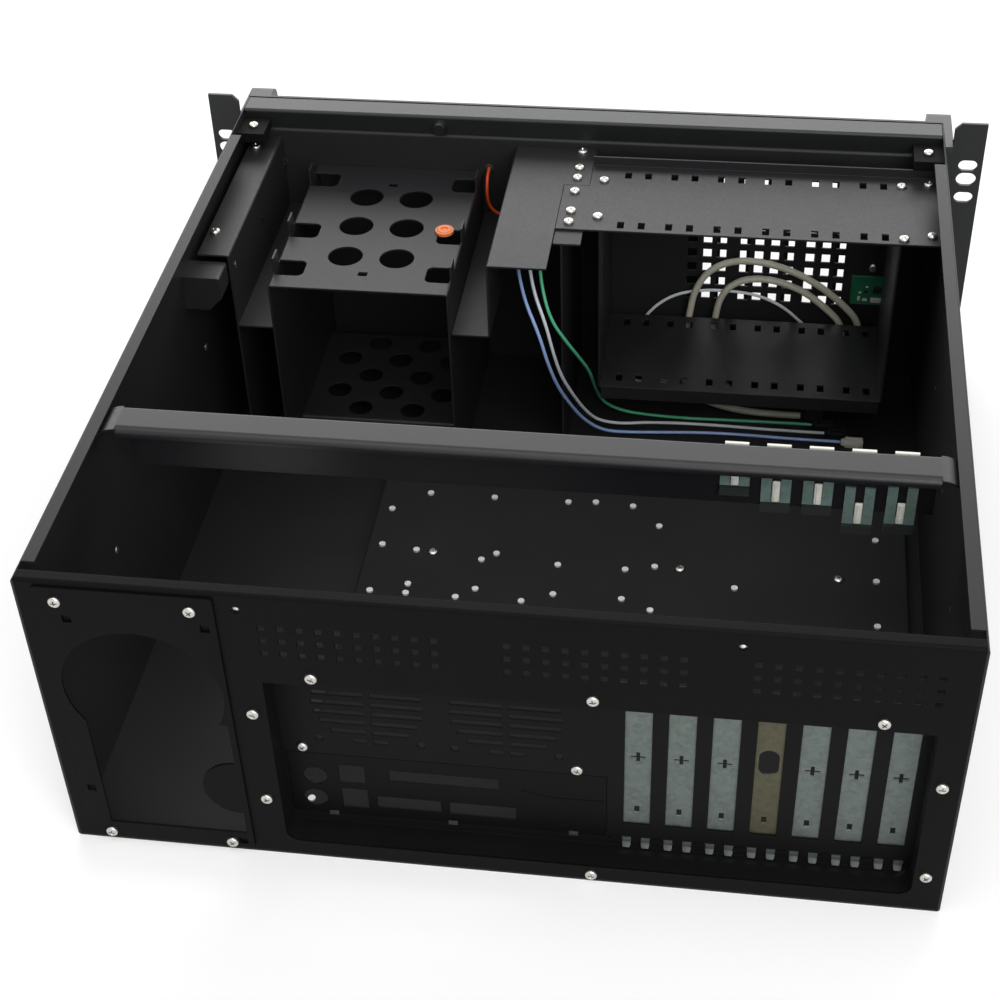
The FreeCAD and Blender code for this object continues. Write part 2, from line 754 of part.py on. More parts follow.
# columns of clinched studs: place across, then places from the front
STUD_COLUMNS = (
    (97.8, (198, 230.2, 269.9, "body_depth-stud_rear_gap")),
    (77, (181.5, 233, 262.4, 270)),
    (48.3, (270.4,)),
    (38.1, (156.5, 181.6, 237.6, 262.6)),
    (30.1, (231.6,)),
    (10.8, (269.9,)),
    (-6.4, (156.3, 181.5, 237.6, 262.4)),
    (-22.8, (147.2, 180)),
    (-45.2, (156.3, 181.5, 237.6, 262.4)),
    (-61.9, (198, 233.5, 269.9, "body_depth-stud_rear_gap")),
    (-107.9, (246.9,)),
    (-187.2, (198, 233.2, 269.9, "body_depth-stud_rear_gap")),
)


def tray_studs():
    """Clinched studs for every board pattern that the tray takes."""
    studs = []
    for across, rows in STUD_COLUMNS:
        for place in rows:
            studs.append(round_bar(f"stud_{len(studs)}", "z", (f"{across}", from_front(place), "tray_top"),
                                   "stud_radius", "stud_high"))
    return node("tray_studs", group("studs", studs))


def cross_bar():
    """Channel across the case with a rolled rear lip; its ends curve down to the walls."""
    end = f"({WALL}-fit_gap)"
    y_span = (from_front("bar_front"), from_front("bar_rear"))
    corner = f"{end}-bar_span"
    arch = profile("bar_arch", "y", y_span,
                   sheet_outline([(f"-{end}", "body_height-bar_drop"), (f"-{end}", "body_height"),
                                  (end, "body_height"), (end, "body_height-bar_drop")], -1),
                   [([1, 2], corner), ([5, 6], f"{corner}-sheet")])
    ends = cut("bar_ends", arch, [box("bar_middle", ("-bar_span", "bar_span"),
                                      (from_front("bar_front-1"), from_front("bar_rear+1")),
                                      ("body_height-2*bar_drop", "body_height+1"))])
    channel = profile("bar_channel", "x", ("-bar_span", "bar_span"),
                      sheet_outline([(y_span[0], "body_height-bar_apron"), (y_span[0], "body_height"),
                                     (y_span[1], "body_height"), (y_span[1], "body_height-bar_lip")], -1),
                      [([1], "bend"), ([2], "bar_roll"), ([5], "bar_roll-sheet")])
    return node("cross_bar", fuse("bar", [channel, ends]))


def retainer_guides():
    """Nylon guides on the front of the bar's apron, one to each card retainer."""
    guides = []
    for index in range(5):
        middle = f"(retainer_first-{index}*retainer_pitch)"
        guides.append(box(f"guide_{index}", (f"{middle}-guide_width/2", f"{middle}+guide_width/2"),
                          (from_front("bar_front-guide_depth"), from_front("bar_front")),
                          ("body_height-guide_high", "body_height")))
    return node("retainer_guides", group("guides", guides))


RESTS = ("rest_first", "rest_second", "rest_third", "rest_fourth", "rest_fifth")


def retainer(index):
    """Forked zinc plate, white slider in its slot and rubber foot under it."""
    middle = f"(retainer_first-{index}*retainer_pitch)"
    low = f"({RESTS[index]}+retainer_foot)"
    top = f"{low}+retainer_length"
    half, slot = "retainer_width/2", "retainer_slot/2"
    plate_low = "bar_front+sheet+fit_gap"
    plate_high = plate_low + "+retainer_sheet"
    fork = profile(f"fork_{index}", "y", (from_front(plate_low), from_front(plate_high)),
                   [(f"{middle}-{half}", low), (f"{middle}+{half}", low), (f"{middle}+{half}", top),
                    (f"{middle}+{slot}", top), (f"{middle}+{slot}", f"{low}+retainer_web"),
                    (f"{middle}-{slot}", f"{low}+retainer_web"), (f"{middle}-{slot}", top),
                    (f"{middle}-{half}", top)])
    node(f"card_retainer_{index + 1}", fork)
    foot = profile(f"rubber_{index}", "y", (from_front(plate_low), from_front(plate_high + "+2")),
                   [(f"{middle}-{half}", RESTS[index]), (f"{middle}+{half}", RESTS[index]),
                    (f"{middle}+{half}", low), (f"{middle}-{half}", low)])
    node(f"retainer_foot_{index + 1}", foot)
    slider = profile(f"slide_block_{index}", "y", (from_front(plate_low), from_front(plate_high + "+1")),
                     [(f"{middle}-slider_width/2", f"{low}+retainer_web"),
                      (f"{middle}+slider_width/2", f"{low}+retainer_web"),
                      (f"{middle}+slider_width/2", f"{low}+retainer_web+slider_high"),
                      (f"{middle}-slider_width/2", f"{low}+retainer_web+slider_high")], [([0, 1], "slider_width/3")])
    node(f"retainer_slider_{index + 1}", slider)


def front_wall():
    """Inner front wall with a folded top edge and a field of square air holes."""
    face = from_front("wall_front+sheet")
    wall = folded("wall_sheet", "x", (f"-{WALL}", WALL),
                  [(face, "sheet"), (face, "wall_high"), (from_front("wall_front-wall_flange"), "wall_high")])
    through = (from_front("wall_front-1"), from_front("wall_front+sheet+1"))
    cutters = []
    for block, (first, columns) in enumerate((("-68.2", 3), ("-101.3", 4), ("-142.3", 3))):
        for column in range(columns):
            for row in range(10):
                middle, height = f"{first}-{column}*mesh_pitch_across", f"mesh_low+{row}*mesh_pitch_up"
                cutters.append(box(f"mesh_{block}_{column}_{row}",
                                   (f"{middle}-mesh_hole/2", f"{middle}+mesh_hole/2"), through,
                                   (f"{height}-mesh_hole/2", f"{height}+mesh_hole/2")))
    for name in ("power", "reset"):
        cutters.append(round_bar(f"{name}_hole", "y", ("button_place", through[0], f"{name}_height"),
                                 f"{name}_radius+button_gap", "sheet+2"))
    return node("front_wall", cut("wall", wall, cutters))


def rack_slot(name, middle, height, length, width):
    """Cutter of one rounded slot through the frame."""
    y_low, depth = f"{FRAME_FACE}-1", "frame_sheet+2"
    ends = []
    for end, side in enumerate("+-"):
        ends.append(round_bar(f"{name}_end_{end}", "y",
                              (f"{middle}{side}({length}-{width})/2", y_low, height), f"{width}/2", depth))
    mid = box(name + "_mid", (f"{middle}-({length}-{width})/2", f"{middle}+({length}-{width})/2"),
              (y_low, f"{y_low}+{depth}"), (f"{height}-{width}/2", f"{height}+{width}/2"))
    return fuse(name, [mid] + ends)


def front_frame():
    """Front plate with rack ears, slots, handle notches, door opening and the door's pins."""
    plate = box("frame_sheet_blank", ("-rack_width/2", "rack_width/2"), (FRAME_FACE, from_front("0")),
                ("0", "body_height"))
    through = (f"{FRAME_FACE}-1", from_front("1"))
    cutters = [box("door_cutter", ("-door_opening", "door_opening"), through,
                   ("door_opening_low", "door_opening_high"))]
    for name, sign in (("plus", ""), ("minus", "-")):
        middle = f"{sign}ear_hole_spacing/2"
        for level, (base, rise) in enumerate((("body_height-ear_hole_drop", "+"), ("ear_hole_drop", "-"))):
            cutters.append(rack_slot(f"ear_{name}_{level}", middle, base, "ear_slot_length", "ear_slot_width"))
            fall = "-" if rise == "+" else "+"
            cutters.append(rack_slot(f"ear_{name}_{level}_outer", middle, f"{base}{rise}side_slot_above",
                                     "side_slot_length", "side_slot_width"))
            cutters.append(rack_slot(f"ear_{name}_{level}_inner", middle, f"{base}{fall}side_slot_below",
                                     "side_slot_length", "side_slot_width"))
        inner, outer = f"{sign}(body_width/2-0.5)", f"{sign}ear_notch"
        low, top = "body_height-handle_bar-ear_chamfer", "body_height+1"
        cutters.append(profile(f"notch_{name}", "y", through,
                               [(inner, low), (outer, low), (outer, "body_height-ear_chamfer"),
                                (f"{sign}(ear_notch+ear_chamfer+1)", top), (inner, top)]))
    opened = cut("frame_opened", plate, cutters)
    hinge = "(-door_opening+door_pin_inset)"
    depth = from_front("door_pin_depth")
    parts = [opened]
    for name, low, high, pin_low, pin_high in (
            ("top", "door_opening_high", "door_opening_high+sheet", "door_opening_high-door_gap-3",
             "door_opening_high+sheet/2"),
            ("bottom", "door_opening_low-sheet", "door_opening_low", "door_opening_low-sheet/2",
             "door_opening_low+door_gap+3")):
        parts.append(box(f"hinge_tab_{name}", (f"{hinge}-6", f"{hinge}+6"), (from_front("0"), from_front("9")),
                         (low, high)))
        parts.append(round_bar(f"hinge_pin_{name}", "z", (hinge, depth, pin_low), "door_pin",
                               f"({pin_high})-({pin_low})"))
    return node("front_frame", fuse("frame", parts))


def front_bar():
    """Folded channel behind the top of the frame, with one round boss."""
    box_low = "body_height-bar_box_high"
    channel = folded("front_channel", "x", (f"-{WALL}+fit_gap", f"{WALL}-fit_gap"),
                     [(from_front("0"), box_low), (from_front("0"), "body_height"),
                      (from_front("bar_box_depth"), "body_height"), (from_front("bar_box_depth"), box_low)], side=-1)
    boss = round_bar("bar_boss", "y", ("boss_place", from_front("bar_box_depth-sheet/2"),
                                       "body_height-bar_box_high/2-1.2"), "boss_radius", "boss_length+sheet/2",
                     "boss_radius-1")
    return node("front_bar", fuse("front_box", [channel, boss]))


def handle(name, sign):
    """Bow handle with a ribbed grip on its inner side and a strip through the ear's notch."""
    def across(text):
        return f"{sign}({text})"

    top = "body_height-handle_bar"
    back, reach = FRAME_FACE, from_front("-handle_reach")
    inside = f"{reach}+handle_bar"
    span = (across("handle_inner"), across("handle_inner+handle_width"))
    span = span if sign == "" else span[::-1]
    bow = profile(f"bow_{name}", "x", span,
                  [(back, "handle_low"), (reach, "handle_low"), (reach, top), (back, top),
                   (back, f"{top}-handle_bar"), (inside, f"{top}-handle_bar"),
                   (inside, "handle_low+handle_bar"), (back, "handle_low+handle_bar")],
                  [([1, 2], "handle_round"), ([5, 6], "handle_round/2")])
    grip_span = (across("handle_inner-grip_width"), across("handle_inner"))
    grip_span = grip_span if sign == "" else grip_span[::-1]
    grip = profile(f"grip_{name}", "x", grip_span,
                   [(f"{reach}+1", "body_height/4"), (f"{inside}-1", "body_height/4"),
                    (f"{inside}-1", "body_height*0.68"), (f"{reach}+1", "body_height*0.68")],
                   [([0, 1, 2, 3], "handle_bar/4")])
    grooves = []
    groove_span = (across("handle_inner-grip_width-1"), across("handle_inner-grip_width+1.4"))
    groove_span = groove_span if sign == "" else groove_span[::-1]
    for index in range(9):
        height = f"body_height/4+7+{index}*3.2*grip_rib"
        grooves.append(box(f"groove_{name}_{index}", groove_span, (f"{reach}-1", f"{inside}+1"),
                           (height, f"{height}+grip_rib")))
    ribbed = cut(f"grip_ribs_{name}", grip, grooves)
    strip_span = (across("body_width/2+fit_gap"), across("ear_notch-0.5"))
    strip_span = strip_span if sign == "" else strip_span[::-1]
    strip = box(f"strip_{name}", strip_span, (back, from_front("7")), (f"{top}-handle_bar/3", top))
    return node(f"handle_{name}", fuse(f"whole_handle_{name}", [bow, ribbed, strip]))


def front_door():
    """Folded door with returns all round, air slots, pin holes and a slot for the lock's cam."""
    side = "(door_opening-door_clear_side)"
    low, high = "door_opening_low+door_gap", "door_opening_high-door_gap"
    pan = box("door_block", (f"-{side}", side), (FRAME_FACE, from_front("door_return-frame_sheet")), (low, high))
    hollow = box("door_hollow", (f"-{side}+sheet", f"{side}-sheet"),
                 (f"{FRAME_FACE}+sheet", from_front("door_return")), (f"{low}+sheet", f"{high}-sheet"))
    through = (f"{FRAME_FACE}-1", f"{FRAME_FACE}+sheet+1")
    cutters = [hollow]
    for column in range(9):
        middle = f"door_slot_first-{column}*door_slot_pitch"
        cutters.append(box(f"door_slot_{column}", (f"{middle}-door_slot_width/2", f"{middle}+door_slot_width/2"),
                           through, ("door_slot_low", "door_slot_high")))
    hinge = ("-door_opening+door_pin_inset", from_front("door_pin_depth"))
    for name, foot in (("top", f"{high}-2*sheet"), ("bottom", f"{low}-sheet")):
        cutters.append(round_bar(f"pin_hole_{name}", "z", (*hinge, foot), "door_pin+door_pin_gap", "3*sheet"))
    cutters.append(round_bar("lock_hole", "y", ("lock_place", through[0], "lock_height"),
                             "lock_radius-2+lock_gap", "sheet+2"))
    cutters.append(box("cam_slot", (f"{side}-2*sheet", f"{side}+1"), (from_front("1"), from_front("door_return")),
                       ("lock_height-lock_cam_length-3", "lock_height+lock_cam_width/2+2")))
    return node("front_door", cut("door", pan, cutters))


def door_lock():
    """Cam lock: round face, barrel through the door and a cam that hangs down when unlocked."""
    face = round_bar("lock_face_disc", "y", ("lock_place", f"{FRAME_FACE}-lock_gap-lock_face", "lock_height"),
                     "lock_radius-1", "lock_face", "lock_radius")
    barrel = round_bar("lock_barrel", "y", ("lock_place", f"{FRAME_FACE}-lock_gap", "lock_height"),
                       "lock_radius-2", "lock_gap+frame_sheet+3")
    cam = profile("lock_cam", "y", (from_front("3"), from_front("5")),
                  [("lock_place-lock_cam_width/2", "lock_height-lock_cam_length"),
                   ("lock_place+lock_cam_width/2", "lock_height-lock_cam_length"),
                   ("lock_place+lock_cam_width/2", "lock_height+lock_cam_width/2"),
                   ("lock_place-lock_cam_width/2", "lock_height+lock_cam_width/2")],
                  [([0, 1, 2, 3], "lock_cam_width/4")])
    return node("door_lock", fuse("lock", [face, barrel, cam]))


def button(name):
    """Push button through the inner front wall, with a collar behind it."""
    stem = round_bar(f"{name}_stem", "y", ("button_place", from_front("wall_front-button_proud"),
                                           f"{name}_height"), f"{name}_radius",
                     "button_proud+sheet+button_stem")
    collar = round_bar(f"{name}_collar", "y", ("button_place", from_front("wall_front+sheet+button_gap"),
                                               f"{name}_height"), f"{name}_radius+1.5", "button_stem/2")
    return node(f"{name}_button", fuse(f"{name}_cap", [stem, collar]))


def drive_rail_left():
    """Z-folded rail on a wall of its own down to the floor."""
    y_span = (CAGE_START, from_front("rail_rear"))
    rail = folded("left_rail_sheet", "y", y_span,
                  [("rail_web+rail_flange", "rail_top"), ("rail_web", "rail_top"),
                   ("rail_web", "rail_shelf_height"), ("cage_plus+fit_gap", "rail_shelf_height")])
    stand = folded("left_stand", "y", y_span,
                   [("rail_web", "rail_shelf_height-sheet"), ("rail_web", "sheet"), ("rail_foot", "sheet")])
    return node("drive_rail_left", fuse("left_rail", [rail, stand]))


def drive_rail_right():
    """Z-folded rail beside the drive cage, with a front tab over the divider."""
    rail = folded("right_rail_sheet", "y", (CAGE_START, from_front("bracket_rear")),
                  [("bracket_edge+0.8", "rail_top"), ("bracket_web+sheet/2", "rail_top"),
                   ("bracket_web+sheet/2", "rail_shelf_height"), ("cage_minus-fit_gap", "rail_shelf_height")],
                  side=-1)
    tab = box("right_rail_tab", ("-divider_flange+1", "bracket_edge+0.8"), (CAGE_START, from_front("joint_line")),
              (SEAT, "rail_top"))
    return node("drive_rail_right", fuse("right_rail", [rail, tab]))


def divider_wall():
    """Upright wall between the drive cage and the bays, with a flange along its top."""
    half = "sheet/2"
    outline = [(f"divider_place-{half}", "sheet"), (f"divider_place+{half}", "sheet"),
               (f"divider_place+{half}", f"{SEAT}-sheet"), ("divider_flange", f"{SEAT}-sheet"),
               ("divider_flange", SEAT), ("-divider_flange", SEAT),
               ("-divider_flange", f"{SEAT}-sheet"), (f"divider_place-{half}", f"{SEAT}-sheet")]
    return node("divider_wall", profile("divider", "y", (CAGE_START, from_front("divider_rear")), outline))


def hdd_cage():
    """Drive cage: an arch of one sheet with round holes, notches and tabs, and a punched floor."""
    y_span = (CAGE_START, from_front("cage_rear"))
    arch = folded("cage_sheet", "y", y_span,
                  [("cage_minus", "sheet"), ("cage_minus", "cage_top"), ("cage_plus", "cage_top"),
                   ("cage_plus", "sheet")], side=-1)
    middle = "(cage_plus+cage_minus)/2"
    cutters = []
    for row in range(3):
        for side in "+-":
            cutters.append(round_bar(f"cage_hole_{row}_{'pm'[side == '-']}", "z",
                                     (f"{middle}-1.6{side}cage_hole_spacing/2",
                                      from_front(f"cage_hole_first+{row}*cage_hole_pitch"), "cage_top-2*sheet"),
                                     "cage_hole_radius", "3*sheet"))
    for end, place in (("front", "39.4"), ("rear", "139.5")):
        cutters.append(box(f"cage_window_{end}", (f"{middle}-2.7", f"{middle}+2.7"),
                           (from_front(f"{place}-2"), from_front(f"{place}+2")), ("cage_top-2*sheet", "cage_top+1")))
    tabs = []
    for row, place in enumerate(("36.5", "95.8", "136.7")):
        for name, near, far in (("minus", "cage_minus+sheet", "cage_minus+cage_notch_width"),
                                ("plus", "cage_plus-sheet", "cage_plus-cage_notch_depth")):
            low, high = from_front(f"{place}-cage_notch_round*2"), from_front(f"{place}+cage_notch_round*2")
            cutters.append(profile(f"cage_notch_{name}_{row}", "z", ("cage_top-2*sheet", "cage_top+1"),
                                   [(near, low), (far, low), (far, high), (near, high)],
                                   [([1, 2], "cage_notch_round")]))
        for name, low, high in (("minus", "cage_minus", "cage_minus+sheet"),
                                ("plus", "cage_plus-sheet", "cage_plus")):
            tabs.append(box(f"cage_tab_{name}_{row}", (low, high),
                            (from_front(f"{place}-5"), from_front(f"{place}+5")),
                            ("cage_top-2*bend", "cage_top+cage_tab_high")))
    punched = cut("cage_punched", arch, cutters)
    shelf = folded("cage_shelf", "x", ("cage_minus+sheet", "cage_plus-sheet"),
                   [(from_front("cage_floor_front"), "cage_floor"), (from_front("cage_floor_rear"), "cage_floor"),
                    (from_front("cage_floor_rear"), "cage_floor-10")], side=-1)
    holes = []
    for row in range(5):
        columns = (-0.5, 0.5) if row % 2 == 0 else (-1, 0, 1)
        for column in columns:
            holes.append(round_bar(f"hex_{row}_{len(holes)}", "z",
                                   (f"{middle}+({column})*hex_hole_pitch",
                                    from_front(f"hex_first_row+{row}*hex_row_pitch"), "cage_floor-2*sheet"),
                                   "hex_hole_radius", "3*sheet"))
    floor = cut("cage_floor_plate", shelf, holes)
    return node("hdd_cage", fuse("drive_cage", [punched, floor] + tabs))


def bay_holes(name, rows, z_span):
    """Cutters of the paired drive-screw slots along both edges of a bay plate."""
    cutters = []
    for line, place in enumerate(rows):
        for drive in range(6):
            for side in range(2):
                middle = f"bay_hole_first-{drive}*bay_hole_pitch-{side}*bay_hole_pair"
                cutters.append(box(f"{name}_{line}_{drive}_{side}",
                                   (f"{middle}-bay_hole_width/2", f"{middle}+bay_hole_width/2"),
                                   (from_front(f"{place}-bay_hole_length/2"), from_front(f"{place}+bay_hole_length/2")),
                                   z_span))
    return cutters


def bay_cage():
    """Two walls and a floor folded from one sheet, with a flange under the rear edge."""
    cradle = folded("bay_sheet", "y", (from_front("bay_front"), from_front("bay_rear")),
                    [("-bay_minus", SEAT), ("-bay_minus", "bay_floor-sheet"), ("-bay_plus", "bay_floor-sheet"),
                     ("-bay_plus", SEAT)])
    punched = cut("bay_punched", cradle,
                  bay_holes("bay_slot", ("bay_floor_row_front", "bay_floor_row_rear"),
                            ("bay_floor-2*sheet", "bay_floor+1")))
    flange = box("bay_rear_flange", ("-bay_minus+bend", "-bay_plus-bend"),
                 (from_front("bay_rear-sheet"), from_front("bay_rear")),
                 ("bay_floor-sheet-bay_flange", "bay_floor-sheet"))
    return node("bay_cage", fuse("bay", [punched, flange]))


def bay_top_plate():
    """Plate over the bays with an upstand at its front and a strip over the divider."""
    plate = folded("bay_plate_sheet", "x", (f"-{WALL}+2.3", "-divider_flange+0.8"),
                   [(from_front("bay_top_front"), "rail_top+bay_upstand"), (from_front("bay_top_front"), SEAT),
                    (from_front("bay_top_rear"), SEAT)])
    punched = cut("bay_plate_punched", plate,
                  bay_holes("top_slot", ("bay_row_front", "bay_row_rear"), (f"{SEAT}-1", "rail_top+1")))
    strip = box("bay_plate_strip", ("-divider_flange+0.8", "divider_flange"),
                (from_front("joint_line+fit_gap"), from_front("bay_top_rear")), (SEAT, "rail_top"))
    return node("bay_top_plate", fuse("bay_plate", [punched, strip]))


def corner_blocks():
    """Black blocks in the two front corners, under the cover's line."""
    blocks = []
    for index, sign in enumerate(("", "-")):
        span = (f"{sign}({WALL}-corner_block_width)", f"{sign}{WALL}")
        span = span if sign == "" else span[::-1]
        blocks.append(box(f"corner_block_{index}", span,
                          (BEHIND_WALL, from_front("wall_front+sheet+corner_block_depth")),
                          ("body_height-corner_block_drop-corner_block_high", "body_height-corner_block_drop")))
    return node("corner_blocks", group("blocks", blocks))


def wall_box():
    """Black moulded box on the wall behind the left rail."""
    outline = [(WALL, "box_low"), (WALL, "box_high"), ("box_inner", "box_high"),
               ("box_inner", "box_low+box_chamfer"), ("box_inner+box_chamfer", "box_low")]
    return node("wall_box", profile("moulded_box", "y", (from_front("box_front"), from_front("box_rear")),
                                    outline, [([2], "bend")]))


def usb_board():
    """Circuit board on the front wall and the socket block under it."""
    board = box("board", ("-board_plus-board_width", "-board_plus"),
                (BEHIND_WALL, f"{BEHIND_WALL}+board_thick"), ("board_low", "board_low+board_high"))
    socket = box("socket", ("-board_plus-14", "-board_plus+7"), (BEHIND_WALL, from_front("29")), ("22", "34"))
    return node("usb_board", group("board_and_socket", [board, socket]))


def all_screws():
    """Pan-head screws: rear panel, slot covers, and cages with rails."""
    plate_face, ledge = from_rear("-sheet"), f"{LEDGE}+cover_sheet"
    plate = [(f"supply_centre{side}", height) for height in ("body_height-plate_screw_drop", "plate_screw_low")
             for side in ("+plate_screw_plus", "-plate_screw_minus")]
    inner, above, edge = "recess_plus+panel_screw_side", "recess_high+panel_screw_rise", "panel_screw_edge-body_width/2"
    panel = [(inner, "101"), (inner, "41"), ("81.6", above), ("-47.5", above), ("-176", above),
             (edge, "88.8"), (edge, "25.4"), ("-46.8", "5")]
    tub = [("recess_plus-tub_screw_side", "64.3"), ("-38.5", "63.6")]
    rear = screws("plate_screw", "y", 1, plate, plate_face)
    rear += screws("panel_screw", "y", 1, panel, REAR)
    rear += screws("tub_screw", "y", 1, tub, RECESS_FACE)
    node("rear_screws", group("rear_heads", rear))
    tabs = [(f"slot_first-{index}*slot_pitch", f"{RECESS_FRONT}+cover_tab/2+1") for index in range(7)]
    node("slot_screws", group("slot_heads", screws("slot_screw", "z", 1, tabs, ledge)))
    rail, bay, seat = (f"body_width/2-{gap}" for gap in ("rail_screw_edge", "bay_screw_edge", "seat_screw_edge"))
    top = [(f"{rail}-0.2", "33.3"), (f"{rail}+0.2", "132.1"), ("1", "22.5"), ("1", "41.8"), ("1", "53.5"),
           ("1", "69.2"), ("1", "91.2"), ("1", "103.3"), ("-15.2", "55"), ("-15.2", "96"), (f"-({bay})", "47.5"),
           (f"-({bay})", "105.5"), (f"-({seat})", "44.5"), (f"-({seat})", "101")]
    heads = screws("top_screw", "z", 1, [(x, from_front(y)) for x, y in top], "rail_top")
    board = [("67.2", "233.8"), ("-76.4", "233.8"), ("-166.2", "233.4")]
    heads += screws("board_screw", "z", 1, [(x, from_front(y)) for x, y in board], "tray_top")
    web = [("23", "144"), ("86", "139"), ("144", "147")]
    heads += screws("web_screw", "x", -1, [(from_front(y), z) for y, z in web], "rail_web")
    blocks = [(f"{sign}(body_width/2-block_screw_edge)", "28") for sign in ("", "-")]
    heads += screws("block_screw", "z", 1, [(x, from_front(y)) for x, y in blocks],
                    "body_height-corner_block_drop")
    heads += screws("wall_screw", "y", 1, [("wall_screw_edge-body_width/2", "84")], BEHIND_WALL)
    node("cage_screws", group("cage_heads", heads))


# ---------------------------------------------------------------- leads
# Routes in millimetres: across, from the front plane, up. Each starts at a wall or socket and ends
# at its plug, and the tube's runs are joined by arcs as large as they allow.
ROUTES = {
    "usb_lead_1": ("usb_lead", (
        (-177, 25, 34), (-177, 25, 46), (-164, 25.5, 61), (-146, 25, 75.5), (-124, 25.5, 86.5), (-100, 25, 90),
        (-81, 25.5, 83), (-71, 25, 66), (-68, 25.5, 45), (-66, 28, 25), (-65, 38, 9), (-71, 52, 3.9),
        (-86, 63, 3.7), (-105, 69, 3.9), (-124, 70.5, 3.7), (-143, 70.5, 3.7))),
    "usb_lead_2": ("usb_lead", (
        (-166, 25, 34), (-166, 25, 44), (-155, 25.5, 56), (-139, 25, 69), (-117, 25.5, 77), (-98, 25, 74),
        (-88, 25.5, 63), (-85, 25, 47), (-84, 26, 31), (-85, 31, 17), (-89, 40, 7), (-98, 48, 3.9),
        (-110, 53, 3.7), (-124, 54.5, 3.7), (-138, 54.5, 3.7))),
    "lead_panel": ("thin_lead", (
        (-162.3, 20.8, 29), (-152, 20.8, 29), (-141, 20.6, 40), (-129, 20.8, 52), (-112, 20.6, 60.5),
        (-92, 20.8, 63), (-72, 20.6, 62), (-56, 20.8, 57), (-43, 21.5, 46), (-35, 23, 32), (-31, 28, 19),
        (-30, 34.5, 10), (-32, 40.5, 4.6), (-37.5, 44, 3.7), (-44, 44, 3.7))),
    "lead_green": ("thin_lead", (
        (22, 18.2, 146), (22, 40, 146), (21.5, 72, 147), (19, 103, 142), (15, 124, 129), (9, 132.5, 111),
        (-1, 131.5, 94), (-8, 120, 74), (-12, 105, 54), (-13.5, 92, 33), (-18, 82, 14), (-30, 77.5, 4.5),
        (-48, 79, 3.7), (-72, 80.5, 3.9), (-98, 79.5, 3.7), (-124, 79, 3.7), (-150, 79, 3.7))),
    "lead_white": ("thin_lead", (
        (28, 18.2, 146), (28, 40, 146), (27.5, 75, 147.5), (25, 108, 142), (19, 130, 129), (11, 138.5, 112),
        (7, 139, 93), (3, 134, 72), (-3, 123, 50), (-8, 110, 30), (-15, 99, 13), (-29, 91, 4.5),
        (-46, 87, 3.9), (-70, 85.5, 3.7), (-98, 86, 3.9), (-128, 87, 3.7), (-158, 87, 3.7))),
    "lead_blue": ("thin_lead", (
        (34, 18.2, 146), (34, 42, 146), (33.5, 80, 148), (31, 114, 142), (24, 136, 128), (14, 145.5, 109),
        (9, 146.5, 89), (4, 140.5, 68), (-2, 129, 47), (-9, 116.5, 26), (-20, 106, 10), (-36, 98.5, 4),
        (-58, 96, 3.7), (-84, 94, 3.9), (-112, 94, 3.9), (-140, 95, 3.7), (-168, 95, 3.7))),
    "lead_orange": ("thin_lead", (
        (60, 18.2, 144), (60, 27, 144), (60, 33, 135), (59, 32, 124), (52, 31, 117), (42.6, 31, 117))),
}

PLUGS = {
    "usb_lead_1": "plug_width+1", "usb_lead_2": "plug_width+1", "lead_panel": "plug_width-2",
    "lead_green": "plug_width-2", "lead_white": "plug_width-2", "lead_blue": "plug_width-2",
}


def tube_path(points):
    """Straight runs joined by tangent arcs, and the smallest arc radius."""
    edges, radii, start = [], [], points[0]
    for before, corner, after in zip(points, points[1:], points[2:]):
        arriving, leaving = corner - before, after - corner
        trim = 0.45 * min(arriving.Length, leaving.Length)
        arriving.normalize()
        leaving.normalize()
        turn = arriving.getAngle(leaving)
        radius = trim / math.tan(turn / 2)
        arc_start, arc_end = corner - arriving * trim, corner + leaving * trim
        inward = leaving - arriving
        inward.normalize()
        centre = corner + inward * math.hypot(radius, trim)
        outward = corner - centre
        outward.normalize()
        edges.append(Part.LineSegment(start, arc_start).toShape())
        edges.append(Part.Arc(arc_start, centre + outward * radius, arc_end).toShape())
        radii.append(radius)
        start = arc_end
    edges.append(Part.LineSegment(start, points[-1]).toShape())
    return Part.Wire(edges), min(radii)


def leads():
    """One tube for each lead, and the plugs they end in, lying on the floor."""
    front = -SHEET.body_depth / 2
    plugs = []
    for name, (size, route) in ROUTES.items():
        points = [V(across, front + along, up) for across, along, up in route]
        path, tightest = tube_path(points)
        bore = getattr(SHEET, size) / 2
        sides = int(SHEET.lead_sides)
        ahead = (points[1] - points[0]).normalize()
        spoke = ahead.cross(V(ahead.y, ahead.z, ahead.x)).normalize() * bore
        turns = [FreeCAD.Rotation(ahead, 360 * side / sides) for side in range(sides)]
        corners = [points[0] + turn.multVec(spoke) for turn in turns]
        ring = Part.makePolygon(corners + corners[:1])
        tube = DOC.addObject("Part::Feature", name + "_tube")
        tube.Shape = path.makePipeShell([ring], True, False)
        tube.Placement = FreeCAD.Placement()
        expected = Part.Face(ring).Area * path.Length
        print(f"{name}: length {path.Length:.1f} mm, tightest arc {tightest:.1f} mm,"
              f" volume {tube.Shape.Volume / expected:.4f} of section times length")
        node(name, tube)
        if name in PLUGS:
            width = PLUGS[name]
            across, along, _ = route[-1]
            plugs.append(box(f"plug_{name}", (f"{across}-plug_length", f"{across}"),
                             (from_front(f"{along}-({width})/2"), from_front(f"{along}+({width})/2")),
                             ("sheet", "sheet+plug_high")))
    node("lead_connectors", group("plugs", plugs))


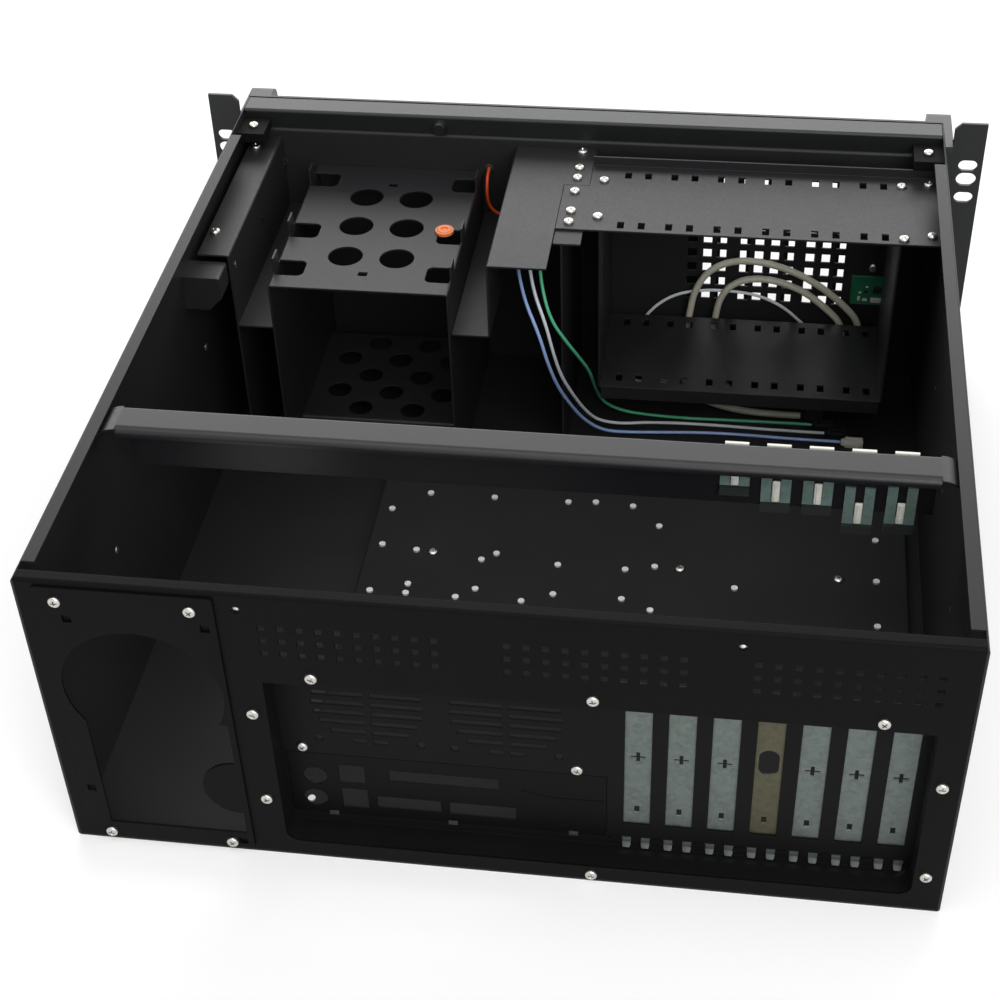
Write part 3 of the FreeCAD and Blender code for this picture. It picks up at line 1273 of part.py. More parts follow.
def build():
    """Make every sub-part, check it and write its STEP file."""
    for make in (chassis_tray, rear_panel, psu_plate, recess_panel, io_shield, motherboard_tray, tray_studs,
                 cross_bar, retainer_guides, front_wall, front_frame, front_bar, front_door, door_lock,
                 drive_rail_left, drive_rail_right, divider_wall, hdd_cage, bay_cage, bay_top_plate,
                 corner_blocks, wall_box, usb_board, all_screws, leads):
        make()
    for index in range(7):
        slot_cover(index)
    for index in range(5):
        retainer(index)
    handle("left", "")
    handle("right", "-")
    button("power")
    button("reset")
    DOC.recompute()
    failed = [thing.Name for thing in DOC.Objects if {"Invalid", "Error"} & set(thing.State)]
    if failed:
        raise RuntimeError(f"failed objects: {failed}")
    for name, thing in NODES.items():
        shape = thing.Shape
        if shape.isNull() or not shape.isValid() or not shape.Solids:
            raise RuntimeError(f"{name} has no valid solid")
    for name, thing in NODES.items():
        thing.Shape.exportStep(f"parts/{name}.step")
    print(f"{len(NODES)} sub-parts written")


build()
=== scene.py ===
"""Looks of an empty 4U rackmount server case, its cover taken off, on a plain pale floor.

Powder-coated sheet, zinc-plated slot covers and card retainers are dressed here. Nickel-plated
screws, moulded parts, a small circuit board, small trim and the front panel's loose leads are
modelled over the plain ones.
"""

import logging
import math
from contextlib import contextmanager
from dataclasses import dataclass
from enum import Enum
from typing import Any, Callable, Iterator, Sequence

import bmesh
import bpy
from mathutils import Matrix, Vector

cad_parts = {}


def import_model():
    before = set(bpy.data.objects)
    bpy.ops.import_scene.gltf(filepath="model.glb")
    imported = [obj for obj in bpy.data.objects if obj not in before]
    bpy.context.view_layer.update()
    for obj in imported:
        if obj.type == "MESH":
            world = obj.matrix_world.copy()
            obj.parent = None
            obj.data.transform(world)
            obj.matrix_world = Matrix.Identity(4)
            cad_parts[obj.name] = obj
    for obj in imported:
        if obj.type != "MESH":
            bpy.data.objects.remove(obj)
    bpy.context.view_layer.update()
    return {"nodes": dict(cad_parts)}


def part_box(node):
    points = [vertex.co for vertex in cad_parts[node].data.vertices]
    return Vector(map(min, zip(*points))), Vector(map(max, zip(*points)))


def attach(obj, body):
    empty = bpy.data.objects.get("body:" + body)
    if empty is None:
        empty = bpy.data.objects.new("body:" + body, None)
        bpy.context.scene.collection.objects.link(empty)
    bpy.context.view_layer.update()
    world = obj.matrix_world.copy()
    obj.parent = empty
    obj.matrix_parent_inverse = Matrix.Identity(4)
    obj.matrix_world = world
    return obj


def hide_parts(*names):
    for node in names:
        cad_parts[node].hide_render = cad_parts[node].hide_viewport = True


LOG = logging.getLogger("rackmount_case")
MM = 0.001
FRONT = -0.225
CASE = "case"
X, Y, Z = range(3)
FACING = 0.9
SAME_PLACE = 1e-6


def linear(colour: str) -> tuple[float, float, float, float]:
    """Turn an sRGB hex colour into linear values.

    Args:
        colour: six hex digits after a hash.

    Returns:
        Red, green, blue and an alpha of one.
    """
    parts = [int(colour[at:at + 2], 16) / 255 for at in (1, 3, 5)]
    red, green, blue = (v / 12.92 if v <= 0.04045 else ((v + 0.055) / 1.055) ** 2.4 for v in parts)
    return red, green, blue, 1.0


def add_node(tree: bpy.types.NodeTree, kind: str, settings: dict[Any, Any] | None = None,
             links: dict[Any, bpy.types.NodeSocket] | None = None) -> bpy.types.Node:
    """Add one shader node.

    Args:
        tree: the material's or world's tree.
        kind: Blender's name of the node type.
        settings: attributes by name, or input values by socket name or number.
        links: the output that feeds each input.

    Returns:
        The new node.
    """
    node = tree.nodes.new(kind)
    for key, value in (settings or {}).items():
        if isinstance(key, str) and hasattr(node, key):
            setattr(node, key, value)
        else:
            node.inputs[key].default_value = value
    for key, source in (links or {}).items():
        tree.links.new(source, node.inputs[key])
    return node


def blank_material(name: str) -> tuple[bpy.types.NodeTree, bpy.types.NodeSocket]:
    """Make a material with an empty tree.

    Args:
        name: the material's name.

    Returns:
        The tree, and the object coordinates in it.
    """
    material = bpy.data.materials.new(name)
    material.use_nodes = True
    material.node_tree.nodes.clear()
    return material.node_tree, add_node(material.node_tree, "ShaderNodeTexCoord").outputs["Object"]


def close_tree(tree: bpy.types.NodeTree, colours: tuple[str, str], tone: bpy.types.NodeSocket,
               roughness: float, spread: tuple[float, float], grain: bpy.types.NodeSocket,
               settings: dict[str, float], relief: bpy.types.NodeSocket | None = None,
               grain_range: tuple[float, float] = (0.0, 1.0)) -> None:
    """Blend two colours by one pattern, vary the roughness by another, and end the tree.

    Args:
        tree: the material's tree.
        colours: hex colours at the pattern's low and high end.
        tone: the pattern that blends them.
        roughness: the middle roughness.
        spread: how far it falls and rises.
        grain: the pattern that varies it.
        settings: values set on the shader itself.
        relief: the bumped normal, where the finish has one.
        grain_range: the part of that pattern that counts.
    """
    shade = add_node(tree, "ShaderNodeMix",
                     {"data_type": "RGBA", 6: linear(colours[0]), 7: linear(colours[1])}, {0: tone})
    rough = add_node(tree, "ShaderNodeMapRange",
                     {"From Min": grain_range[0], "From Max": grain_range[1],
                      "To Min": roughness + spread[0], "To Max": roughness + spread[1]}, {"Value": grain})
    links = {"Base Color": shade.outputs[2], "Roughness": rough.outputs[0]}
    if relief:
        links["Normal"] = relief
    shader = add_node(tree, "ShaderNodeBsdfPrincipled", settings, links)
    add_node(tree, "ShaderNodeOutputMaterial", None, {"Surface": shader.outputs[0]})


# ------------------------------------------------------------------ finishes
@dataclass(frozen=True)
class PowderCoat:
    """Satin polyester powder baked on folded steel: a soft grain that breaks up reflections.

    The grain is drawn coarser than the real powder's, so that it shows.
    """

    name: str
    colour: str = "#161617"
    mottle: str = "#1d1d1e"
    roughness: float = 0.42
    specular: float = 0.3
    grain_mm: float = 1.1
    grain_depth: float = 0.035
    cloud_mm: float = 45
    edge_mm: float = 0.5
    grain_range: tuple[float, float] = (0.3, 0.7)
    spread: tuple[float, float] = (-0.05, 0.06)
    grain_rise: float = 0.3 * MM

    def build(self) -> bpy.types.Material:
        """Make the node tree.

        Returns:
            The material.
        """
        tree, place = blank_material(self.name)
        cloud = add_node(tree, "ShaderNodeTexNoise", {"Scale": 1 / (self.cloud_mm * MM), "Detail": 3.0},
                         {"Vector": place})
        grain = add_node(tree, "ShaderNodeTexNoise", {"Scale": 1 / (self.grain_mm * MM), "Detail": 2.0},
                         {"Vector": place})
        soft = add_node(tree, "ShaderNodeBevel", {"samples": 4, "Radius": self.edge_mm * MM})
        relief = add_node(tree, "ShaderNodeBump", {"Strength": self.grain_depth, "Distance": self.grain_rise},
                          {"Height": grain.outputs[0], "Normal": soft.outputs[0]})
        close_tree(tree, (self.colour, self.mottle), cloud.outputs[0], self.roughness, self.spread,
                   grain.outputs[0], {"Specular IOR Level": self.specular}, relief.outputs[0], self.grain_range)
        return bpy.data.materials[self.name]


@dataclass(frozen=True)
class ZincSheet:
    """Zinc-plated sheet steel: pale crystals of slightly different tone, rubbed duller in places."""

    name: str
    pale: str
    dark: str
    roughness: float = 0.42
    crystal_mm: float = 2.2
    metallic: float = 0.75
    rub_mm: float = 6
    crystal_share: float = 0.45
    spread: tuple[float, float] = (-0.08, 0.1)
    rub_depth: float = 0.06
    rub_rise: float = 0.2 * MM

    def build(self) -> bpy.types.Material:
        """Make the node tree.

        Returns:
            The material.
        """
        tree, place = blank_material(self.name)
        warp = add_node(tree, "ShaderNodeTexNoise", {"Scale": 1 / (self.rub_mm * MM), "Detail": 3.0},
                        {"Vector": place})
        crystals = add_node(tree, "ShaderNodeTexVoronoi", {"Scale": 1 / (self.crystal_mm * MM)},
                            {"Vector": place})
        tone = add_node(tree, "ShaderNodeSeparateColor", None, {0: crystals.outputs["Color"]})
        blend = add_node(tree, "ShaderNodeMath", {"operation": "MULTIPLY_ADD", 1: self.crystal_share},
                         {0: tone.outputs[0], 2: warp.outputs[0]})
        relief = add_node(tree, "ShaderNodeBump", {"Strength": self.rub_depth, "Distance": self.rub_rise},
                          {"Height": warp.outputs[0]})
        close_tree(tree, (self.dark, self.pale), blend.outputs[0], self.roughness, self.spread,
                   blend.outputs[0], {"Metallic": self.metallic}, relief.outputs[0])
        return bpy.data.materials[self.name]


@dataclass(frozen=True)
class NickelPlate:
    """Nickel plating on a turned or cold-formed steel head: bright, with turning marks.

    The marks are drawn coarser than the real ones, so that they show.
    """

    name: str
    colour: str = "#e2e0dc"
    roughness: float = 0.24
    mark_mm: float = 0.5
    mark: str = "#a29e96"
    spread: tuple[float, float] = (-0.06, 0.1)

    def build(self) -> bpy.types.Material:
        """Make the node tree.

        Returns:
            The material.
        """
        tree, place = blank_material(self.name)
        marks = add_node(tree, "ShaderNodeTexNoise", {"Scale": 1 / (self.mark_mm * MM), "Detail": 4.0},
                         {"Vector": place})
        close_tree(tree, (self.mark, self.colour), marks.outputs[0], self.roughness, self.spread,
                   marks.outputs[0], {"Metallic": 1.0})
        return bpy.data.materials[self.name]


@dataclass(frozen=True)
class Moulding:
    """Moulded or extruded plastic or rubber with the grain of its tool.

    The grain is drawn coarser than the real one, so that it shows.
    """

    name: str
    colour: str
    worn: str
    roughness: float
    grain_mm: float = 0.9
    grain_depth: float = 0.04
    specular: float = 0.4
    flow_mm: float = 12
    spread: tuple[float, float] = (-0.06, 0.06)
    grain_rise: float = 0.3 * MM

    def build(self) -> bpy.types.Material:
        """Make the node tree.

        Returns:
            The material.
        """
        tree, place = blank_material(self.name)
        cloud = add_node(tree, "ShaderNodeTexNoise", {"Scale": 1 / (self.flow_mm * MM), "Detail": 4.0},
                         {"Vector": place})
        grain = add_node(tree, "ShaderNodeTexNoise", {"Scale": 1 / (self.grain_mm * MM), "Detail": 2.0},
                         {"Vector": place})
        relief = add_node(tree, "ShaderNodeBump", {"Strength": self.grain_depth, "Distance": self.grain_rise},
                          {"Height": grain.outputs[0]})
        close_tree(tree, (self.colour, self.worn), cloud.outputs[0], self.roughness, self.spread,
                   grain.outputs[0], {"Specular IOR Level": self.specular}, relief.outputs[0])
        return bpy.data.materials[self.name]


@dataclass(frozen=True)
class SolderMask:
    """Green solder mask over copper: the tracks show as slightly raised, paler lines."""

    name: str
    colour: str = "#0f4a35"
    track: str = "#1c6b4b"
    track_mm: float = 2.4
    track_share: float = 0.045
    slant: float = 0.4
    roughness: float = 0.3
    track_depth: float = 0.12
    track_rise: float = 0.1 * MM

    def build(self) -> bpy.types.Material:
        """Make the node tree.

        Returns:
            The material.
        """
        tree, place = blank_material(self.name)
        turned = add_node(tree, "ShaderNodeMapping", {"Rotation": (0.0, self.slant, 0.0)}, {"Vector": place})
        tracks = add_node(tree, "ShaderNodeTexBrick",
                          {"Scale": 1 / (self.track_mm * 3 * MM), "Mortar Size": self.track_share,
                           "Color1": linear(self.colour), "Color2": linear(self.colour),
                           "Mortar": linear(self.track)}, {"Vector": turned.outputs[0]})
        relief = add_node(tree, "ShaderNodeBump", {"Strength": self.track_depth, "Distance": self.track_rise},
                          {"Height": tracks.outputs["Fac"]})
        shader = add_node(tree, "ShaderNodeBsdfPrincipled", {"Roughness": self.roughness},
                          {"Base Color": tracks.outputs["Color"], "Normal": relief.outputs[0]})
        add_node(tree, "ShaderNodeOutputMaterial", None, {"Surface": shader.outputs[0]})
        return bpy.data.materials[self.name]


class Finish(Enum):
    """Every finish of the case, each with its own procedural material; some are darker and lighter copies of
    one finish, with painted shade, painted light and painted highlights in their colour.
    """

    BODY_COAT = PowderCoat("black_powder_coat_body", "#202021", "#272728", 0.42, 0.2)
    # painted shade: a darker copy of the black coat for the rear panel and PSU plate, which face away from the
    # lamps
    REAR_COAT = PowderCoat("black_powder_coat_rear", "#09090a", "#0c0c0d", 0.48, 0.06)
    BAR_COAT = PowderCoat("black_powder_coat_bar", "#17171a", "#1e1e20", 0.35, 0.36)
    # painted shade: a darker copy of the black coat for the recess, which sits in shadow
    RECESS_COAT = PowderCoat("black_powder_coat_recess", "#111112", "#161617", 0.5, 0.06)
    # painted light: a lighter copy of the black coat, for the light that falls on the tray
    TRAY_COAT = PowderCoat("black_powder_coat_tray", "#262627", "#2d2d2e", 0.55, 0.06)
    # painted light: a copy of the black coat whose colour is set by how lit the cage tops and bay plate look
    CAGE_COAT = PowderCoat("black_powder_coat_cages", "#1b1b1d", "#232325", 0.45, 0.3)
    FRONT_COAT = PowderCoat("black_powder_coat_front", "#151617", "#1b1d1d", 0.38, 0.34)
    SHIELD_PAINT = PowderCoat("black_painted_port_shield", "#0d0d0d", "#111111", 0.45, 0.06, 0.8)
    ZINC = ZincSheet("zinc_plated_sheet", "#6f7874", "#4f5754")
    # real greenish zinc tone, made paler than the covers' zinc as painted light for the forks in the bar's
    # shade
    BRIGHT_ZINC = ZincSheet("bright_zinc_plated_fork", "#7b928c", "#5e7670", 0.5, 2.2, 0.3)
    LUG_STEEL = ZincSheet("pickled_steel_lug", "#4c514e", "#383c3a", 0.5, 1.4, 0.4)
    OLIVE_ZINC = ZincSheet("yellow_passivated_zinc_sheet", "#5a5846", "#434133")
    NICKEL = NickelPlate("nickel_plated_screw")
    # painted highlight: near-white so that the flat studs read like the glints on domed ones
    STUD = ZincSheet("bright_zinc_plated_stud", "#f6f5f2", "#dddbd5", 0.42, 1.2, 0.3)
    LOCK = NickelPlate("nickel_plated_lock", "#c4c1ba", 0.2)
    BLACK_ABS = Moulding("black_moulded_abs", "#161616", "#1e1e1e", 0.5)
    # black moulded ABS for the corner blocks, also used as painted shade in the recess's notches
    BLOCK_ABS = Moulding("black_moulded_corner_block", "#0c0c0c", "#111111", 0.7, 0.9, 0.04, 0.08)
    HANDLE_ABS = Moulding("black_moulded_handle", "#17181a", "#202224", 0.4)
    RUBBER = Moulding("black_rubber_foot", "#222625", "#2d3230", 0.7, 0.7, 0.08, 0.3)
    NYLON = Moulding("white_moulded_nylon", "#efeee7", "#e4e2d8", 0.42)
    WHITE_HOUSING = Moulding("white_nylon_housing", "#dcdad0", "#c9c6ba", 0.45)
    ORANGE_CAP = Moulding("orange_moulded_cap", "#e8874f", "#dc7740", 0.45)
    GREY_PVC = Moulding("grey_pvc_sheath", "#cfccba", "#bcb9a8", 0.4, 1.6, 0.03)
    WHITE_PVC = Moulding("white_pvc_insulation", "#e6e9ee", "#d5d9e0", 0.38, 1.2, 0.02)
    BLUE_PVC = Moulding("light_blue_pvc_insulation", "#a3bdec", "#8ca8dd", 0.38, 1.2, 0.02)
    GREEN_PVC = Moulding("green_pvc_insulation", "#63c99a", "#4fb486", 0.38, 1.2, 0.02)
    ORANGE_PVC = Moulding("orange_pvc_insulation", "#cf4a1c", "#b83f17", 0.38, 1.2, 0.02)
    MASK = SolderMask("green_solder_mask")

    def material(self) -> bpy.types.Material:
        """The finish's material, made the first time it is asked for."""
        return bpy.data.materials.get(self.value.name) or self.value.build()


def dress(thing: bpy.types.Object, finish: Finish) -> bpy.types.Object:
    """Give a piece or a CAD node one finish all over.

    Args:
        thing: the piece or node.
        finish: its finish.

    Returns:
        The same piece or node.
    """
    thing.data.materials.clear()
    thing.data.materials.append(finish.material())
    return thing


# ------------------------------------------------------------------ modelling by hand
class Shape(Enum):
    """Primitives that a piece may start from."""

    BLOCK = "block"
    ROUND_Y = "y"
    ROUND_Z = "z"


TURN = {Shape.ROUND_Y: (math.pi / 2, 0, 0), Shape.ROUND_Z: (0, 0, 0)}


def clear_selection() -> None:
    """Leave nothing selected, in object mode."""
    for thing in list(bpy.context.selected_objects):
        thing.select_set(False)
    bpy.context.view_layer.objects.active = None


def start(name: str, shape: Shape, low: Sequence[float], high: Sequence[float],
          sides: int = 24) -> bpy.types.Object:
    """Add a primitive that fills a box, its object left at the origin.

    Args:
        name: the piece's name.
        shape: the primitive.
        low: lowest corner in metres.
        high: highest corner in metres.
        sides: number of sides of a round primitive.

    Returns:
        The new object, active and selected.
    """
    clear_selection()
    size = Vector(high) - Vector(low)
    if shape is Shape.BLOCK:
        bpy.ops.mesh.primitive_cube_add(size=1)
    else:
        bpy.ops.mesh.primitive_cylinder_add(vertices=sides, radius=0.5, depth=1, rotation=TURN[shape])
    piece = bpy.context.object
    bpy.ops.object.transform_apply(location=True, rotation=True, scale=True)
    piece.scale = size
    piece.location = (Vector(low) + Vector(high)) / 2
    bpy.ops.object.transform_apply(location=True, rotation=True, scale=True)
    piece.name = piece.data.name = name
    return piece


def round_bar(name: str, middle: Sequence[float], radius: float, ends: Sequence[float],
              sides: int) -> bpy.types.Object:
    """Add a round bar that runs along Y.

    Args:
        name: the piece's name.
        middle: place of its axis across and up, in metres.
        radius: its radius in metres.
        ends: where it starts and ends along Y, in metres.
        sides: number of sides.

    Returns:
        The new object, active and selected.
    """
    (across, up), (near, far) = middle, ends
    return start(name, Shape.ROUND_Y, (across - radius, near, up - radius), (across + radius, far, up + radius),
                 sides)


@contextmanager
def editing(piece: bpy.types.Object) -> Iterator[None]:
    """Edit mode on one piece, with nothing of it selected at the start.

    Args:
        piece: the piece to edit.
    """
    clear_selection()
    piece.select_set(True)
    bpy.context.view_layer.objects.active = piece
    bpy.ops.object.mode_set(mode="EDIT")
    bpy.ops.mesh.select_mode(type="FACE")
    bpy.ops.mesh.select_all(action="DESELECT")
    yield
    bpy.ops.object.mode_set(mode="OBJECT")


def pick(piece: bpy.types.Object, wanted: Callable[[Vector, Vector], bool]) -> None:
    """Select the faces that a test accepts, and no others.

    Args:
        piece: the piece being edited.
        wanted: the test, on a face's centre and normal.
    """
    shape = bmesh.from_edit_mesh(piece.data)
    for face in shape.faces:
        face.select_set(wanted(face.calc_center_median(), face.normal))
    bmesh.update_edit_mesh(piece.data)


def facing(axis: int, sign: int = 1, limit: float = FACING) -> Callable[[Vector, Vector], bool]:
    """Test for the faces that point along an axis.

    Args:
        axis: X, Y or Z.
        sign: 1 for its high side and -1 for its low side.
        limit: how nearly they have to, where 1 is exactly.

    Returns:
        A test on a face's centre and normal, for pick.
    """
    return lambda place, normal: normal[axis] * sign > limit


def pull(move: Sequence[float]) -> None:
    """Extrude the selected faces by a move in metres."""
    bpy.ops.mesh.extrude_region_move(TRANSFORM_OT_translate={"value": tuple(move)})


def round_edges(width: float, segments: int = 2) -> None:
    """Bevel every edge of the piece being edited."""
    bpy.ops.mesh.select_all(action="SELECT")
    bpy.ops.mesh.bevel(offset=width, segments=segments, affect="EDGES")


def finish_mesh(piece: bpy.types.Object, angle: float = 35) -> bpy.types.Object:
    """Merge doubles, turn the faces outwards and shade smooth.

    Args:
        piece: the piece to finish.
        angle: the sharpest edge that is shaded smooth, in degrees.

    Returns:
        The same piece.
    """
    with editing(piece):
        bpy.ops.mesh.select_all(action="SELECT")
        bpy.ops.mesh.remove_doubles(threshold=SAME_PLACE)
        bpy.ops.mesh.normals_make_consistent(inside=False)
    bpy.ops.object.shade_smooth_by_angle(angle=math.radians(angle))
    return piece


def carve(piece: bpy.types.Object, cutter: bpy.types.Object) -> None:
    """Cut one piece out of another and drop the cutter.

    Args:
        piece: the piece that is cut.
        cutter: what is taken out of it.
    """
    clear_selection()
    piece.select_set(True)
    bpy.context.view_layer.objects.active = piece
    tool = piece.modifiers.new("carve", "BOOLEAN")
    tool.operation = "DIFFERENCE"
    tool.object = cutter
    tool.solver = "EXACT"
    bpy.ops.object.modifier_apply(modifier=tool.name)
    bpy.data.objects.remove(cutter)


def copy_to(master: bpy.types.Object, name: str, place: Vector) -> bpy.types.Object:
    """Copy a piece with a mesh of its own, moved to its place.

    Args:
        master: the piece to copy.
        name: the copy's name.
        place: where its origin goes, in metres.

    Returns:
        The copy.
    """
    twin = master.copy()
    twin.data = master.data.copy()
    twin.name = twin.data.name = name
    bpy.context.scene.collection.objects.link(twin)
    twin.location = place
    return twin


def join(name: str, pieces: Sequence[bpy.types.Object]) -> bpy.types.Object:
    """Join several pieces into one whose object is at the origin.

    Args:
        name: the whole's name.
        pieces: what it is made of.

    Returns:
        The whole.
    """
    clear_selection()
    for one in pieces:
        one.select_set(True)
    bpy.context.view_layer.objects.active = pieces[0]
    bpy.ops.object.join()
    whole = bpy.context.object
    bpy.ops.object.transform_apply(location=True, rotation=True, scale=True)
    whole.name = whole.data.name = name
    return whole


def smooth_line(name: str, places: Sequence[Sequence[float]], radius: float) -> bpy.types.Object:
    """Lay a round, capped curve over places.

    Args:
        name: the curve's name.
        places: its control points in metres.
        radius: its radius in metres.

    Returns:
        The new curve object.
    """
    curve = bpy.data.curves.new(name, "CURVE")
    curve.dimensions = "3D"
    line = curve.splines.new("NURBS")
    line.points.add(len(places) - 1)
    for point, place in zip(line.points, places):
        point.co = (*place, 1.0)
    line.order_u = 3
    line.use_endpoint_u = True
    curve.bevel_depth = radius
    curve.use_fill_caps = True
    piece = bpy.data.objects.new(name, curve)
    bpy.context.scene.collection.objects.link(piece)
    return piece


def islands(node: bpy.types.Object) -> list[tuple[Vector, Vector]]:
    """Find the separate solids in a CAD node.

    Args:
        node: the CAD node.

    Returns:
        The box of each, as lowest and highest corner.
    """
    shape = bmesh.new()
    shape.from_mesh(node.data)
    bmesh.ops.remove_doubles(shape, verts=shape.verts, dist=SAME_PLACE)
    boxes, seen = [], set()
    for seed in shape.verts:
        if seed in seen:
            continue
        seen.add(seed)
        reached, edge_of = [seed], [seed]
        while edge_of:
            for link in edge_of.pop().link_edges:
                for vertex in link.verts:
                    if vertex not in seen:
                        seen.add(vertex)
                        reached.append(vertex)
                        edge_of.append(vertex)
        places = [vertex.co for vertex in reached]
        boxes.append((Vector([min(p[k] for p in places) for k in (X, Y, Z)]),
                      Vector([max(p[k] for p in places) for k in (X, Y, Z)])))
    shape.free()
    return boxes


# ------------------------------------------------------------------ sub-assemblies
@dataclass
class Sheetwork:
    """Folded and punched sheets, kept as they are and given their finishes."""

    nodes: dict[str, bpy.types.Object]

    def dress(self) -> None:
        """Give every CAD node its finish: the rear panel, PSU plate and recess get copies of the black coat
        darkened as painted shade, the tray and cages copies set as painted light, the retainer forks a paler
        zinc as painted light and the studs a painted highlight.
        """
        finishes = {
            Finish.BODY_COAT: ("chassis_tray", "front_wall", "divider_wall"),
            Finish.TRAY_COAT: ("motherboard_tray",),
            Finish.REAR_COAT: ("rear_panel", "psu_plate"),
            Finish.RECESS_COAT: ("recess_panel",),
            Finish.CAGE_COAT: ("hdd_cage", "bay_cage", "bay_top_plate", "drive_rail_left",
                               "drive_rail_right"),
            Finish.BAR_COAT: ("cross_bar",),
            Finish.FRONT_COAT: ("front_frame", "front_bar", "front_door"),
            Finish.SHIELD_PAINT: ("io_shield",),
            Finish.OLIVE_ZINC: ("slot_cover_4",),
            Finish.STUD: ("tray_studs",),
            Finish.LOCK: ("door_lock",),
            Finish.BLOCK_ABS: ("corner_blocks",),
            Finish.BLACK_ABS: ("wall_box", "power_button", "reset_button"),
            Finish.HANDLE_ABS: ("handle_left", "handle_right"),
            Finish.NYLON: ("retainer_guides",),
            Finish.RUBBER: tuple(f"retainer_foot_{one}" for one in range(1, 6)),
            Finish.ZINC: tuple(f"slot_cover_{one}" for one in (1, 2, 3, 5, 6, 7)),
            Finish.BRIGHT_ZINC: tuple(f"card_retainer_{one}" for one in range(1, 6)),
        }
        for finish, names in finishes.items():
            for name in names:
                dress(self.nodes[name], finish)
            LOG.info("%s: %s", finish.value.name, ", ".join(names))


@dataclass
class ScrewSet:
    """Pan-head screws with a cross recess, one on each plain head of the CAD nodes."""

    nodes: dict[str, bpy.types.Object]
    radius: float = 3 * MM
    rise: float = 1.9 * MM
    rim_share: float = 0.55
    steps: tuple[tuple[float, float], ...] = ((0.25, 0.88), (0.15, 0.78), (0.05, 0.72))
    recess_reach: float = 1.75 * MM
    recess_half: float = 0.36 * MM
    recess_floor: float = 0.3
    recess_taper: float = 0.55
    recess_over: float = 1.2
    turns: tuple[float, float, float] = (0.5, 0.7, 0.9)

    def head(self) -> bpy.types.Object:
        """Model one head that stands on the XY plane.

        Returns:
            The head, to be copied.
        """
        low, high = (-self.radius, -self.radius, 0), (self.radius, self.radius, self.rise * self.rim_share)
        piece = start("screw_head", Shape.ROUND_Z, low, high, 28)
        with editing(piece):
            pick(piece, facing(Z))
            for lift, shrink in self.steps:
                pull((0, 0, self.rise * lift))
                bpy.ops.transform.resize(value=(shrink, shrink, 1))
        for wide, deep in ((self.recess_reach, self.recess_half), (self.recess_half, self.recess_reach)):
            cutter = start("cross_cutter", Shape.BLOCK, (-wide, -deep, self.rise * self.recess_floor),
                           (wide, deep, self.rise * self.recess_over))
            with editing(cutter):
                pick(cutter, facing(Z, -1))
                bpy.ops.transform.resize(value=(self.recess_taper, self.recess_taper, 1))
            carve(piece, cutter)
        return finish_mesh(piece, 40)

    def build(self) -> None:
        """Place a head on every plain one and hide those."""
        master = self.head()
        clear_selection()
        for name in ("rear_screws", "slot_screws", "cage_screws"):
            heads = []
            for index, (low, high) in enumerate(islands(self.nodes[name])):
                size, middle = high - low, (low + high) / 2
                axis = min((X, Y, Z), key=lambda k: size[k])
                middle[axis] = high[axis] if axis == X else low[axis]
                head = copy_to(master, f"{name}_head_{index}", middle)
                turn = self.turns[axis] * index
                head.rotation_euler = {X: (turn, -math.pi / 2, 0), Y: (-math.pi / 2, turn, 0),
                                       Z: (0, 0, turn)}[axis]
                heads.append(head)
            screws = dress(join(f"pan_head_{name}", heads), Finish.NICKEL)
            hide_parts(name)
            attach(screws, CASE)
            LOG.info("%s: %d heads", screws.name, len(heads))
        bpy.data.objects.remove(master)


class Plug(Enum):
    """What a lead ends in."""

    NONE = 0
    WHITE = 1
    BLACK = 2


@dataclass
class Lead:
    """One loose lead: its route from the front of the case, in millimetres, and its end."""

    node: str
    finish: Finish
    slot: str
    diameter: float
    length: float
    plug: Plug
    width: float
    route: tuple[tuple[float, float, float], ...]
    housing_reach: float = 14
    housing_start: float = 3
    housing_low: float = 1.2
    housing_high: float = 6.2
    neck: float = 2.6
    neck_share: float = 0.7
    lip: float = 0.5
    wall: float = 0.7
    mouth: float = 4
    window_rim: float = 1.1
    window_depth: float = 0.6
    edge: float = 0.2
    stiff_above: float = 3

    def points(self) -> list[Vector]:
        """The route in metres."""
        return [Vector((across * MM, FRONT + along * MM, up * MM)) for across, along, up in self.route]

    def sheath(self) -> bpy.types.Object:
        """Make the lead as a smooth round curve over its route.

        Returns:
            The curve object.
        """
        piece = smooth_line(f"{self.node}_sheath", self.points(), self.diameter * MM / 2)
        piece.data.splines[0].resolution_u = 8
        piece.data.bevel_resolution = 3
        return dress(piece, self.finish)

    def connector(self) -> bpy.types.Object:
        """Model the plug on the end of the lead: a hollow housing with a neck and a sunken top.

        Returns:
            The plug.
        """
        end = self.points()[-1]
        half = self.width * MM / 2
        low = (end.x - self.housing_reach * MM, end.y - half, self.housing_low * MM)
        high = (end.x - self.housing_start * MM, end.y + half, self.housing_high * MM)
        piece = start(f"{self.node}_plug", Shape.BLOCK, low, high)
        with editing(piece):
            pick(piece, facing(X))
            bpy.ops.mesh.inset(thickness=self.lip * MM)
            pull((self.neck * MM, 0, 0))
            bpy.ops.transform.resize(value=(1, self.neck_share, self.neck_share))
            pick(piece, facing(X, -1))
            bpy.ops.mesh.inset(thickness=self.wall * MM)
            pull((self.mouth * MM, 0, 0))
            pick(piece, lambda place, normal: normal.z > FACING and place.x < end.x - self.mouth * MM)
            bpy.ops.mesh.inset(thickness=self.window_rim * MM)
            pull((0, 0, -self.window_depth * MM))
            round_edges(self.edge * MM, 2)
        finish_mesh(piece)
        colour = Finish.WHITE_HOUSING if self.plug is Plug.WHITE else Finish.BLACK_ABS
        return dress(piece, colour)

    def build(self) -> None:
        piece = self.sheath()
        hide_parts(self.node)
        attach(piece, CASE)
        if self.plug is not Plug.NONE:
            connector = self.connector()
            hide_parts("lead_connectors")
            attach(connector, CASE)
            LOG.info("%s on its lead", connector.name)
        LOG.info("%s: %.0f mm long", piece.name, self.length)


